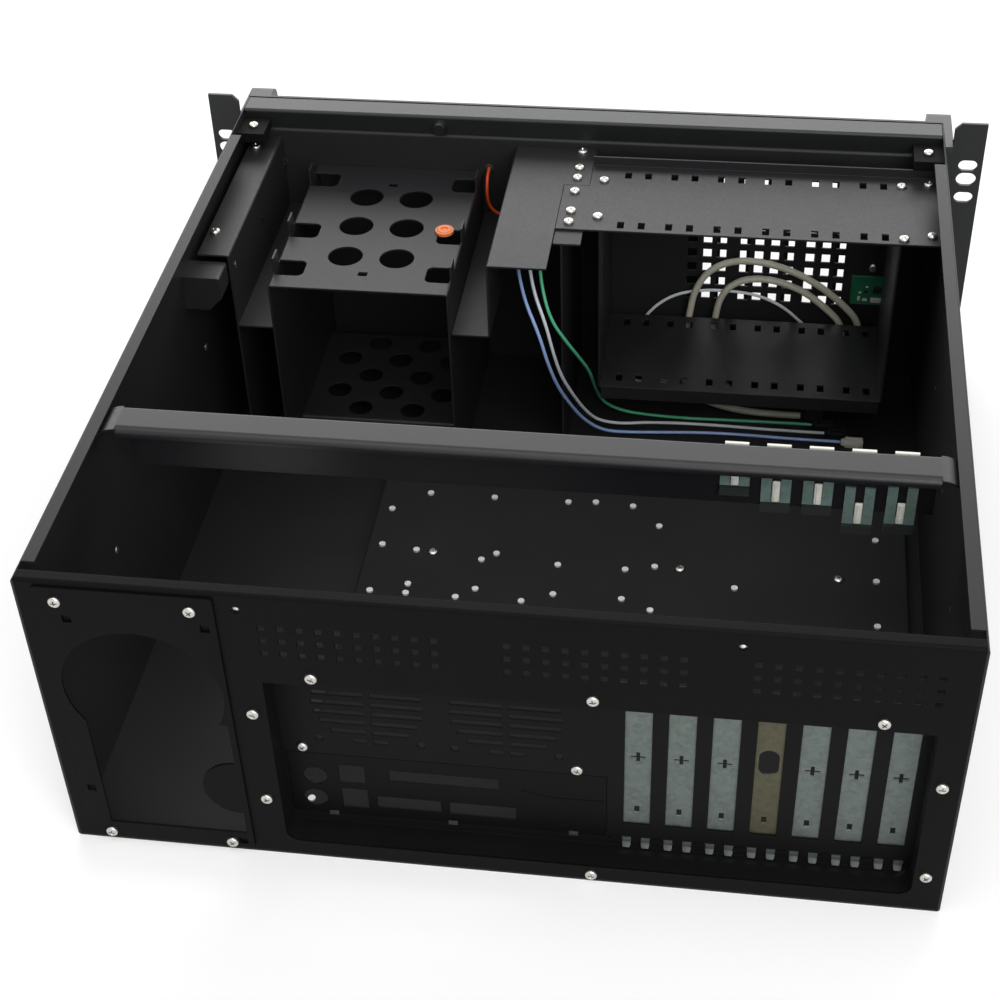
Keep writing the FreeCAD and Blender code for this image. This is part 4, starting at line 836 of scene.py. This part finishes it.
LEADS = (
    Lead("usb_lead_1", Finish.GREY_PVC, "grey_lead", 4.4, 293, Plug.BLACK, 8, (
        (-177, 25, 34), (-177, 25, 46), (-164, 25.5, 61), (-146, 25, 75.5), (-124, 25.5, 86.5), (-100, 25, 90),
        (-81, 25.5, 83), (-71, 25, 66), (-68, 25.5, 45), (-66, 28, 25), (-65, 38, 9), (-71, 52, 3.9),
        (-86, 63, 3.7), (-105, 69, 3.9), (-124, 70.5, 3.7), (-143, 70.5, 3.7))),
    Lead("usb_lead_2", Finish.GREY_PVC, "grey_lead", 4.4, 216.4, Plug.BLACK, 8, (
        (-166, 25, 34), (-166, 25, 44), (-155, 25.5, 56), (-139, 25, 69), (-117, 25.5, 77), (-98, 25, 74),
        (-88, 25.5, 63), (-85, 25, 47), (-84, 26, 31), (-85, 31, 17), (-89, 40, 7), (-98, 48, 3.9),
        (-110, 53, 3.7), (-124, 54.5, 3.7), (-138, 54.5, 3.7))),
    Lead("lead_panel", Finish.WHITE_PVC, "white_lead", 2, 197, Plug.WHITE, 5, (
        (-162.3, 20.8, 29), (-152, 20.8, 29), (-141, 20.6, 40), (-129, 20.8, 52), (-112, 20.6, 60.5),
        (-92, 20.8, 63), (-72, 20.6, 62), (-56, 20.8, 57), (-43, 21.5, 46), (-35, 23, 32), (-31, 28, 19),
        (-30, 34.5, 10), (-32, 40.5, 4.6), (-37.5, 44, 3.7), (-44, 44, 3.7))),
    Lead("lead_green", Finish.GREEN_PVC, "green_lead", 2, 380.1, Plug.BLACK, 5, (
        (22, 18.2, 146), (22, 40, 146), (21.5, 72, 147), (19, 103, 142), (15, 124, 129), (9, 132.5, 111),
        (-1, 131.5, 94), (-8, 120, 74), (-12, 105, 54), (-13.5, 92, 33), (-18, 82, 14), (-30, 77.5, 4.5),
        (-48, 79, 3.7), (-72, 80.5, 3.9), (-98, 79.5, 3.7), (-124, 79, 3.7), (-150, 79, 3.7))),
    Lead("lead_white", Finish.WHITE_PVC, "white_lead", 2, 395.2, Plug.BLACK, 5, (
        (28, 18.2, 146), (28, 40, 146), (27.5, 75, 147.5), (25, 108, 142), (19, 130, 129), (11, 138.5, 112),
        (7, 139, 93), (3, 134, 72), (-3, 123, 50), (-8, 110, 30), (-15, 99, 13), (-29, 91, 4.5),
        (-46, 87, 3.9), (-70, 85.5, 3.7), (-98, 86, 3.9), (-128, 87, 3.7), (-158, 87, 3.7))),
    Lead("lead_blue", Finish.BLUE_PVC, "blue_lead", 2, 410.7, Plug.WHITE, 5, (
        (34, 18.2, 146), (34, 42, 146), (33.5, 80, 148), (31, 114, 142), (24, 136, 128), (14, 145.5, 109),
        (9, 146.5, 89), (4, 140.5, 68), (-2, 129, 47), (-9, 116.5, 26), (-20, 106, 10), (-36, 98.5, 4),
        (-58, 96, 3.7), (-84, 94, 3.9), (-112, 94, 3.9), (-140, 95, 3.7), (-168, 95, 3.7))),
    Lead("lead_orange", Finish.ORANGE_PVC, "orange_lead", 2, 48.2, Plug.NONE, 0, (
        (60, 18.2, 144), (60, 27, 144), (60, 33, 135), (59, 32, 124), (52, 31, 117), (42.6, 31, 117))),
)


@dataclass
class FrontPanelBoard:
    """Circuit board on the front wall, its parts, and the socket block that the round leads leave."""

    board: tuple[Vector, Vector]
    socket: tuple[Vector, Vector]
    parts: tuple[tuple[float, float, tuple[float, float, float], Finish], ...] = (
        (2, 3, (7, 2.4, 2.6), Finish.WHITE_HOUSING), (11, 3, (3, 1, 1.6), Finish.WHITE_HOUSING),
        (15.5, 3.2, (1.6, 0.8, 3), Finish.WHITE_HOUSING), (3, 9, (5, 1.4, 5), Finish.BLACK_ABS),
        (11, 9, (2.6, 0.9, 1.4), Finish.BLACK_ABS), (11, 13, (1.6, 0.8, 0.9), Finish.STUD),
        (15, 8.6, (1.6, 0.8, 0.9), Finish.STUD))
    board_rim: float = 0.6 * MM
    board_step: float = 0.1 * MM
    board_edge: float = 0.15 * MM
    part_rim: float = 0.2
    part_sink: float = 0.15
    part_edge: float = 0.08
    socket_rim: float = 1.4 * MM
    socket_sink: float = 0.8 * MM
    hollow_rim: float = 1.2 * MM
    hollow_depth: float = 1.5 * MM
    socket_edge: float = 0.3 * MM

    def plate(self) -> bpy.types.Object:
        """Model the bare board with softened edges.

        Returns:
            The board.
        """
        low, high = self.board
        piece = start("panel_board", Shape.BLOCK, low, high)
        with editing(piece):
            pick(piece, facing(Y))
            bpy.ops.mesh.inset(thickness=self.board_rim)
            pull((0, -self.board_step, 0))
            round_edges(self.board_edge, 1)
        return dress(finish_mesh(piece), Finish.MASK)

    def part(self, name: str, across: float, up: float, size: tuple[float, float, float],
             finish: Finish) -> bpy.types.Object:
        """Model one part soldered to the board's face.

        Args:
            name: the piece's name.
            across: place from the board's low side, in millimetres.
            up: place from the board's low edge, in millimetres.
            size: width, rise and height in millimetres.
            finish: its material.

        Returns:
            The part, standing on the board.
        """
        low, high = self.board
        foot = Vector((low.x + across * MM, high.y - self.board_step, low.z + up * MM))
        wide, rise, tall = (side * MM for side in size)
        piece = start(name, Shape.BLOCK, foot, foot + Vector((wide, rise, tall)))
        with editing(piece):
            pick(piece, facing(Y))
            bpy.ops.mesh.inset(thickness=min(wide, tall) * self.part_rim)
            pull((0, -rise * self.part_sink, 0))
            round_edges(min(size) * MM * self.part_edge, 1)
        return dress(finish_mesh(piece), finish)

    def block(self) -> bpy.types.Object:
        """Model the socket block with a sunken face and a hollow underside.

        Returns:
            The block.
        """
        low, high = self.socket
        piece = start("panel_socket", Shape.BLOCK, low, high)
        with editing(piece):
            pick(piece, facing(Y))
            bpy.ops.mesh.inset(thickness=self.socket_rim)
            pull((0, -self.socket_sink, 0))
            pick(piece, facing(Z, -1))
            bpy.ops.mesh.inset(thickness=self.hollow_rim)
            pull((0, 0, self.hollow_depth))
            round_edges(self.socket_edge, 2)
        return dress(finish_mesh(piece), Finish.BLACK_ABS)

    def build(self) -> None:
        """Make the board, its parts and the socket."""
        pieces = [self.plate(), self.block()]
        for index, (across, up, size, finish) in enumerate(self.parts):
            pieces.append(self.part(f"board_part_{index}", across, up, size, finish))
        for piece in pieces:
            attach(piece, CASE)
            LOG.info("%s in place", piece.name)
        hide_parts("usb_board")


@dataclass
class DriveCageCap:
    """Orange press-in cap in a notch of the drive cage's top."""

    cage: tuple[Vector, Vector]
    radius: float = 5.5 * MM
    inset: float = 12.5 * MM
    along: float = 90 * MM
    drop: float = 9 * MM
    sunk: float = 0.4 * MM
    proud: float = 1.4 * MM
    rim: float = 0.9 * MM
    dome: float = 0.6 * MM
    dome_share: float = 0.85
    dimple_rim: float = 1.6 * MM
    dimple_depth: float = 0.7 * MM

    def build(self) -> None:
        """Model the cap: a rimmed dome with a dimple."""
        low, high = self.cage
        place = Vector((low.x + self.inset, FRONT + self.along, high.z - self.drop))
        low = place - Vector((self.radius, self.radius, self.sunk))
        high = place + Vector((self.radius, self.radius, self.proud))
        piece = start("cage_cap", Shape.ROUND_Z, low, high, 28)
        with editing(piece):
            pick(piece, facing(Z))
            bpy.ops.mesh.inset(thickness=self.rim)
            pull((0, 0, self.dome))
            bpy.ops.transform.resize(value=(self.dome_share, self.dome_share, 1))
            bpy.ops.mesh.inset(thickness=self.dimple_rim)
            pull((0, 0, -self.dimple_depth))
        dress(finish_mesh(piece), Finish.ORANGE_CAP)
        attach(piece, CASE)
        LOG.info("%s in place", piece.name)


@dataclass
class RecessTrim:
    """Small pressed and bent features of the rear recess: relief, clips and slot lugs, with dark half rings of
    painted shade in the notches between the covers.
    """

    shield: tuple[Vector, Vector]
    covers: Sequence[tuple[Vector, Vector]]
    line_places: tuple[tuple[float, float], ...] = ((-11.4, 44.8), (-17, 42.4), (-32, 40.6), (-51.4, 41.6))
    line_radius: float = 0.6 * MM
    dash_places: tuple[float, ...] = (-19.3, -32.1, -45.1)
    dash_half: float = 2.6
    dash_height: tuple[float, float] = (21.4 * MM, 22.8 * MM)
    dash_reach: tuple[float, float] = (-0.2 * MM, 0.5 * MM)
    clip_places: tuple[float, ...] = (83.6, 23.4, -36.6)
    clip_half: float = 2.3
    clip_height: tuple[float, float] = (15.4 * MM, 18.2 * MM)
    clip_reach: tuple[float, float] = (-0.1 * MM, 0.6 * MM)
    clip_bend: tuple[float, float] = (0.9 * MM, 0.7 * MM)
    clip_taper: float = 0.8
    clip_edge: float = 0.15 * MM
    lug_low: float = 14.5 * MM
    lug_rise: float = 3 * MM
    lug_half: float = 2.2 * MM
    lug_spread: float = 4.6 * MM
    lug_reach: tuple[float, float] = (-0.3 * MM, 0.7 * MM)
    lug_bends: tuple[tuple[float, float, float], ...] = ((1.2, 1.4, 0.92), (0.9, 0.5, 0.85))
    slot_pitch: float = 20.32 * MM
    arch_radius: float = 3.6 * MM
    arch_rise: float = 3.4 * MM
    arch_reach: tuple[float, float] = (-0.3 * MM, 0.9 * MM)
    soft_edge: float = 0.25 * MM

    def relief(self) -> list[bpy.types.Object]:
        """Press a shallow line and three dashes on the blank part of the port shield.

        Returns:
            The line and the dashes.
        """
        face, (low, high) = self.shield[1].y, self.dash_height
        places = [(across * MM, face, up * MM) for across, up in self.line_places]
        pieces = [dress(smooth_line("shield_line", places, self.line_radius), Finish.SHIELD_PAINT)]
        for index, across in enumerate(self.dash_places):
            dash = start(f"shield_dash_{index}", Shape.BLOCK,
                         ((across - self.dash_half) * MM, face + self.dash_reach[0], low),
                         ((across + self.dash_half) * MM, face + self.dash_reach[1], high))
            with editing(dash):
                round_edges(self.soft_edge, 2)
            pieces.append(dress(finish_mesh(dash), Finish.SHIELD_PAINT))
        return pieces

    def clips(self) -> list[bpy.types.Object]:
        """Bend three spring clips up along the shield's lower edge.

        Returns:
            The clips.
        """
        face, (low, high) = self.shield[1].y, self.clip_height
        pieces = []
        for index, across in enumerate(self.clip_places):
            clip = start(f"shield_clip_{index}", Shape.BLOCK,
                         ((across - self.clip_half) * MM, face + self.clip_reach[0], low),
                         ((across + self.clip_half) * MM, face + self.clip_reach[1], high))
            with editing(clip):
                pick(clip, facing(Z))
                pull((0, *self.clip_bend))
                bpy.ops.transform.resize(value=(self.clip_taper, 1, 1))
                round_edges(self.clip_edge, 2)
            pieces.append(dress(finish_mesh(clip), Finish.LUG_STEEL))
        return pieces

    def lugs(self) -> list[bpy.types.Object]:
        """Bend the pair of rounded lugs that holds each slot cover's foot.

        Returns:
            The lugs.
        """
        face = self.shield[1].y
        pieces = []
        for slot, (low, high) in enumerate(self.covers):
            for side in (-1, 1):
                across = (low.x + high.x) / 2 + side * self.lug_spread
                lug = start(f"slot_lug_{slot}_{side}", Shape.BLOCK,
                            (across - self.lug_half, face + self.lug_reach[0], self.lug_low),
                            (across + self.lug_half, face + self.lug_reach[1], self.lug_low + self.lug_rise))
                with editing(lug):
                    pick(lug, facing(Z, -1))
                    for out, down, narrow in self.lug_bends:
                        pull((0, out * MM, -down * MM))
                        bpy.ops.transform.resize(value=(narrow, 1, 1))
                    round_edges(self.soft_edge, 2)
                pieces.append(dress(finish_mesh(lug), Finish.LUG_STEEL))
        return pieces

    def arches(self) -> list[bpy.types.Object]:
        """Lay a dark half ring as painted shade in the notch between one cover's lugs and the next cover's.

        Returns:
            The half rings of painted shade.
        """
        face, radius = self.shield[1].y, self.arch_radius
        up = self.lug_low + self.arch_rise - radius
        pieces = []
        for slot, (low, high) in enumerate(self.covers):
            across = (low.x + high.x) / 2 + self.slot_pitch / 2
            ends = [face + reach for reach in self.arch_reach]
            arch = round_bar(f"slot_arch_{slot}", (across, up), radius, ends, 32)
            bore = round_bar("arch_bore", (across, up), radius / 2, (face - MM, face + 2 * MM), 24)
            carve(arch, bore)
            foot = start("arch_foot", Shape.BLOCK, (across - 2 * radius, face - MM, up - 2 * radius),
                         (across + 2 * radius, face + 2 * MM, up))
            carve(arch, foot)
            # the half ring is dressed dark as painted shade of the notch
            pieces.append(dress(finish_mesh(arch), Finish.BLOCK_ABS))
        return pieces

    def build(self) -> None:
        """Make every feature and let it ride on the case."""
        for piece in self.relief() + self.clips() + self.lugs() + self.arches():
            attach(piece, CASE)
            LOG.info("%s in place", piece.name)


@dataclass
class ClinchNuts:
    """Clinch nuts behind the two holes for the cover's screws."""

    panel: tuple[Vector, Vector]
    place: float = 112.2 * MM
    drop: float = 9.5 * MM
    sheet: float = 1.3 * MM
    radius: float = 4 * MM
    depth: float = 3 * MM
    bore: float = 1.3 * MM

    def build(self) -> None:
        """Set a bored nut behind each hole."""
        face, up = self.panel[1].y - self.sheet, self.panel[1].z - self.drop
        for index, across in enumerate((self.place, -self.place)):
            nut = round_bar(f"clinch_nut_{index}", (across, up), self.radius, (face - self.depth, face), 24)
            bore = round_bar("nut_bore", (across, up), self.bore, (face - self.depth - MM, face + MM), 24)
            carve(nut, bore)
            dress(finish_mesh(nut), Finish.NICKEL)
            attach(nut, CASE)
            LOG.info("%s in place", nut.name)


@dataclass
class ThumbSliders:
    """Thumb slider of each card retainer: a rounded bar with a raised, ribbed grip."""

    count: int = 5
    drop: float = 2.4 * MM
    body: tuple[float, float] = (1.0 * MM, 0.5 * MM)
    edge: float = 0.7 * MM
    grip_rim: float = 0.5 * MM
    grip: float = 0.6 * MM
    notches: int = 3
    notch_pitch: float = 1.6 * MM
    notch_half: float = 0.3 * MM
    notch_floor: float = 0.7 * MM

    def slider(self, number: int, low: Vector, high: Vector) -> bpy.types.Object:
        """Model one slider over the plain one's box.

        Args:
            number: which retainer it is on.
            low: lowest corner of the plain one.
            high: highest corner of the plain one.

        Returns:
            The slider.
        """
        piece = start(f"thumb_slider_{number}", Shape.BLOCK, (low.x, high.y - self.body[0], low.z - self.drop),
                      (high.x, high.y + self.body[1], high.z - self.drop))
        with editing(piece):
            round_edges(self.edge, 3)
            pick(piece, facing(Y, limit=0.99))
            bpy.ops.mesh.inset(thickness=self.grip_rim)
            pull((0, self.grip, 0))
        for rib in range(self.notches):
            up = (low.z + high.z) / 2 - self.drop + (rib - (self.notches - 1) / 2) * self.notch_pitch
            notch = start("rib_notch", Shape.BLOCK,
                          (low.x - MM, high.y + self.notch_floor, up - self.notch_half),
                          (high.x + MM, high.y + 2 * MM, up + self.notch_half))
            carve(piece, notch)
        return dress(finish_mesh(piece), Finish.NYLON)

    def build(self) -> None:
        """Put a slider in each plain one's place, riding on its retainer."""
        for number in range(1, self.count + 1):
            node = f"retainer_slider_{number}"
            piece = self.slider(number, *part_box(node))
            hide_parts(node)
            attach(piece, f"retainer_{number}")
            LOG.info("%s on its retainer", piece.name)


@dataclass
class LockFace:
    """Raised ring, plug and key slot on the face of the door's lock."""

    lock: tuple[Vector, Vector]
    rise: float = 0.5 * MM
    sunk: float = 0.2 * MM
    ring_radii: tuple[float, float] = (6.6 * MM, 5.2 * MM)
    plug_radius: float = 4 * MM
    key_half: tuple[float, float] = (0.9 * MM, 2.8 * MM)
    lap: float = 0.3 * MM
    shutter_reach: tuple[float, float] = (-0.15 * MM, 0.1 * MM)
    shutter_edge: float = 0.05 * MM

    def build(self) -> None:
        """Model the ring, the plug with its slot, and a dark block behind the slot that paints the shade of the
        deep keyway.
        """
        low, high = self.lock
        across, up, face = (low.x + high.x) / 2, high.z - (high.x - low.x) / 2, low.y
        ends = (face - self.rise, face + self.sunk)
        ring = round_bar("lock_ring", (across, up), self.ring_radii[0], ends, 48)
        carve(ring, round_bar("ring_well", (across, up), self.ring_radii[1], (face - MM, face + MM), 48))
        plug = round_bar("lock_plug", (across, up), self.plug_radius, ends, 40)
        wide, tall = self.key_half
        carve(plug, start("key_slot", Shape.BLOCK, (across - wide, face - MM, up - tall),
                          (across + wide, face + MM, up + tall)))
        # the dark block behind the key slot is painted shade of the keyway's depth
        wide, tall = wide + self.lap, tall + self.lap
        near, far = self.shutter_reach
        shutter = start("key_shutter", Shape.BLOCK, (across - wide, face + near, up - tall),
                        (across + wide, face + far, up + tall))
        with editing(shutter):
            round_edges(self.shutter_edge, 1)
        for piece, finish, slot in ((ring, Finish.LOCK, "nickel_lock"), (plug, Finish.LOCK, "nickel_lock"),
                                    (shutter, Finish.BLACK_ABS, "black_plastic")):
            dress(finish_mesh(piece), finish)
            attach(piece, "lock")
            LOG.info("%s on the lock", piece.name)


@dataclass
class LeadGrommets:
    """Soft rings round the leads that come through the front wall."""

    leads: Sequence[Lead]
    stand_off: float = 0.6
    radius: float = 1.9 * MM
    thickness: float = 0.8 * MM

    def build(self) -> None:
        """Set a ring round the start of each lead."""
        for lead in self.leads:
            across, along, up = lead.route[0]
            clear_selection()
            bpy.ops.mesh.primitive_torus_add(
                location=(across * MM, FRONT + (along + self.stand_off) * MM, up * MM),
                rotation=(math.pi / 2, 0, 0), major_radius=self.radius, minor_radius=self.thickness,
                major_segments=24, minor_segments=10)
            ring = bpy.context.object
            bpy.ops.object.transform_apply(location=True, rotation=True, scale=True)
            ring.name = ring.data.name = f"{lead.node}_grommet"
            bpy.ops.object.shade_smooth()
            dress(ring, Finish.RUBBER)
            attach(ring, CASE)
            LOG.info("%s in place", ring.name)


@dataclass
class Studio:
    """Pale floor, white surroundings, soft lamps and the camera."""

    sky: float = 0.4
    floor_glow: float = 0.35
    fade_start: float = 0.9
    fade_end: float = 2.6
    floor_size: float = 14
    aim: tuple[float, float, float] = (0, 0, 0.12)
    lamps: tuple[tuple[str, tuple[float, float, float], tuple[float, float], float], ...] = (
        ("front_softbox", (0.2, -1.85, 1.05), (3.0, 1.2), 3.0),
        ("top_softbox", (0.1, 0.5, 2.4), (1.8, 1.8), 1.8),
        ("rear_softbox", (-0.9, 2.0, 1.5), (1.6, 1.6), 4.2))
    floor_colour: str = "#dcdcdc"
    lens_mm: float = 66.95
    sensor_mm: float = 36
    nearest: float = 0.05
    eye_place: tuple[float, float, float] = (-0.1032, 0.7997, 0.7355)
    eye_turn: tuple[float, float, float] = (0.8676, 0.0305, 3.2782)

    def floor(self) -> None:
        """Lay a pale floor that shows white, more so far away, and keeps the shadow."""
        clear_selection()
        bpy.ops.mesh.primitive_plane_add(size=self.floor_size, location=(0, 0, 0))
        plane = bpy.context.object
        plane.name = "studio_floor"
        tree, place = blank_material("pale_floor")
        matt = add_node(tree, "ShaderNodeBsdfDiffuse", {"Color": linear(self.floor_colour)})
        reach = add_node(tree, "ShaderNodeVectorMath", {"operation": "LENGTH"}, {0: place})
        rise = add_node(tree, "ShaderNodeMapRange",
                        {"From Min": self.fade_start, "From Max": self.fade_end,
                         "To Min": self.floor_glow, "To Max": 1.0}, {"Value": reach.outputs["Value"]})
        level = add_node(tree, "ShaderNodeMath", {"operation": "MULTIPLY"},
                         {0: self.shown(tree, 0.0, 1.0), 1: rise.outputs[0]})
        glow = add_node(tree, "ShaderNodeEmission", {"Color": linear("#ffffff")},
                        {"Strength": level.outputs[0]})
        both = add_node(tree, "ShaderNodeAddShader", None, {0: matt.outputs[0], 1: glow.outputs[0]})
        add_node(tree, "ShaderNodeOutputMaterial", None, {"Surface": both.outputs[0]})
        plane.data.materials.append(bpy.data.materials["pale_floor"])

    @staticmethod
    def shown(tree: bpy.types.NodeTree, lit: float, seen: float) -> bpy.types.NodeSocket:
        """Make a strength that differs between light and sight.

        Args:
            tree: the tree of the floor or the world.
            lit: the strength for diffuse rays.
            seen: the strength for camera, glossy and transmission rays.

        Returns:
            The socket that gives it.
        """
        path = add_node(tree, "ShaderNodeLightPath")
        first = add_node(tree, "ShaderNodeMath", {"operation": "MAXIMUM"},
                         {0: path.outputs["Is Camera Ray"], 1: path.outputs["Is Glossy Ray"]})
        both = add_node(tree, "ShaderNodeMath", {"operation": "MAXIMUM"},
                        {0: first.outputs[0], 1: path.outputs["Is Transmission Ray"]})
        strength = add_node(tree, "ShaderNodeMapRange", {"To Min": lit, "To Max": seen},
                            {"Value": both.outputs[0]})
        return strength.outputs[0]

    def surroundings(self) -> None:
        """White world for what looks at it, a plain grey light for the rest."""
        world = bpy.data.worlds.new("studio")
        world.use_nodes = True
        tree = world.node_tree
        tree.nodes.clear()
        white = add_node(tree, "ShaderNodeBackground", {"Color": linear("#ffffff")},
                         {"Strength": self.shown(tree, self.sky, 1.0)})
        add_node(tree, "ShaderNodeOutputWorld", None, {"Surface": white.outputs[0]})
        bpy.context.scene.world = world

    def lamp(self, name: str, place: Sequence[float], size: tuple[float, float], level: float) -> None:
        """Hang a soft lamp that faces the case.

        Args:
            name: the lamp's name.
            place: its middle in metres.
            size: width and height in metres.
            level: its brightness as seen, where 1 is white.
        """
        data = bpy.data.lights.new(name, "AREA")
        data.shape = "RECTANGLE"
        data.size, data.size_y = size
        data.energy = math.pi * size[0] * size[1] * level
        lamp = bpy.data.objects.new(name, data)
        lamp.location = place
        lamp.rotation_euler = (Vector(self.aim) - Vector(place)).to_track_quat("-Z", "Y").to_euler()
        bpy.context.scene.collection.objects.link(lamp)

    def camera(self) -> None:
        """Set the camera behind and above the case."""
        data = bpy.data.cameras.new("camera")
        data.lens = self.lens_mm
        data.sensor_width = self.sensor_mm
        data.clip_start = self.nearest
        eye = bpy.data.objects.new("camera", data)
        eye.location = self.eye_place
        eye.rotation_euler = self.eye_turn
        bpy.context.scene.collection.objects.link(eye)
        bpy.context.scene.camera = eye

    def build(self) -> None:
        """Set up the whole studio."""
        self.floor()
        self.surroundings()
        for name, place, size, level in self.lamps:
            self.lamp(name, place, size, level)
        self.camera()
        bpy.context.scene.view_settings.view_transform = "Standard"
        LOG.info("studio ready")


def main() -> None:
    """Dress the frame, build the detailed pieces and set the studio."""
    logging.basicConfig(level=logging.INFO, format="%(name)s: %(message)s")
    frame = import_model()
    nodes = frame["nodes"]
    Sheetwork(nodes).dress()
    for lead in LEADS:
        lead.build()
    ScrewSet(nodes).build()
    solids = sorted(islands(nodes["usb_board"]), key=lambda box: -box[1].z)
    FrontPanelBoard(solids[0], solids[1]).build()
    DriveCageCap(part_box("hdd_cage")).build()
    RecessTrim(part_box("io_shield"), [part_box(f"slot_cover_{slot}") for slot in range(1, 8)]).build()
    ClinchNuts(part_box("rear_panel")).build()
    ThumbSliders().build()
    LockFace(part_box("door_lock")).build()
    through_wall = LEADS[3:]
    LeadGrommets(through_wall).build()
    Studio().build()


if __name__ == "__main__":
    main()
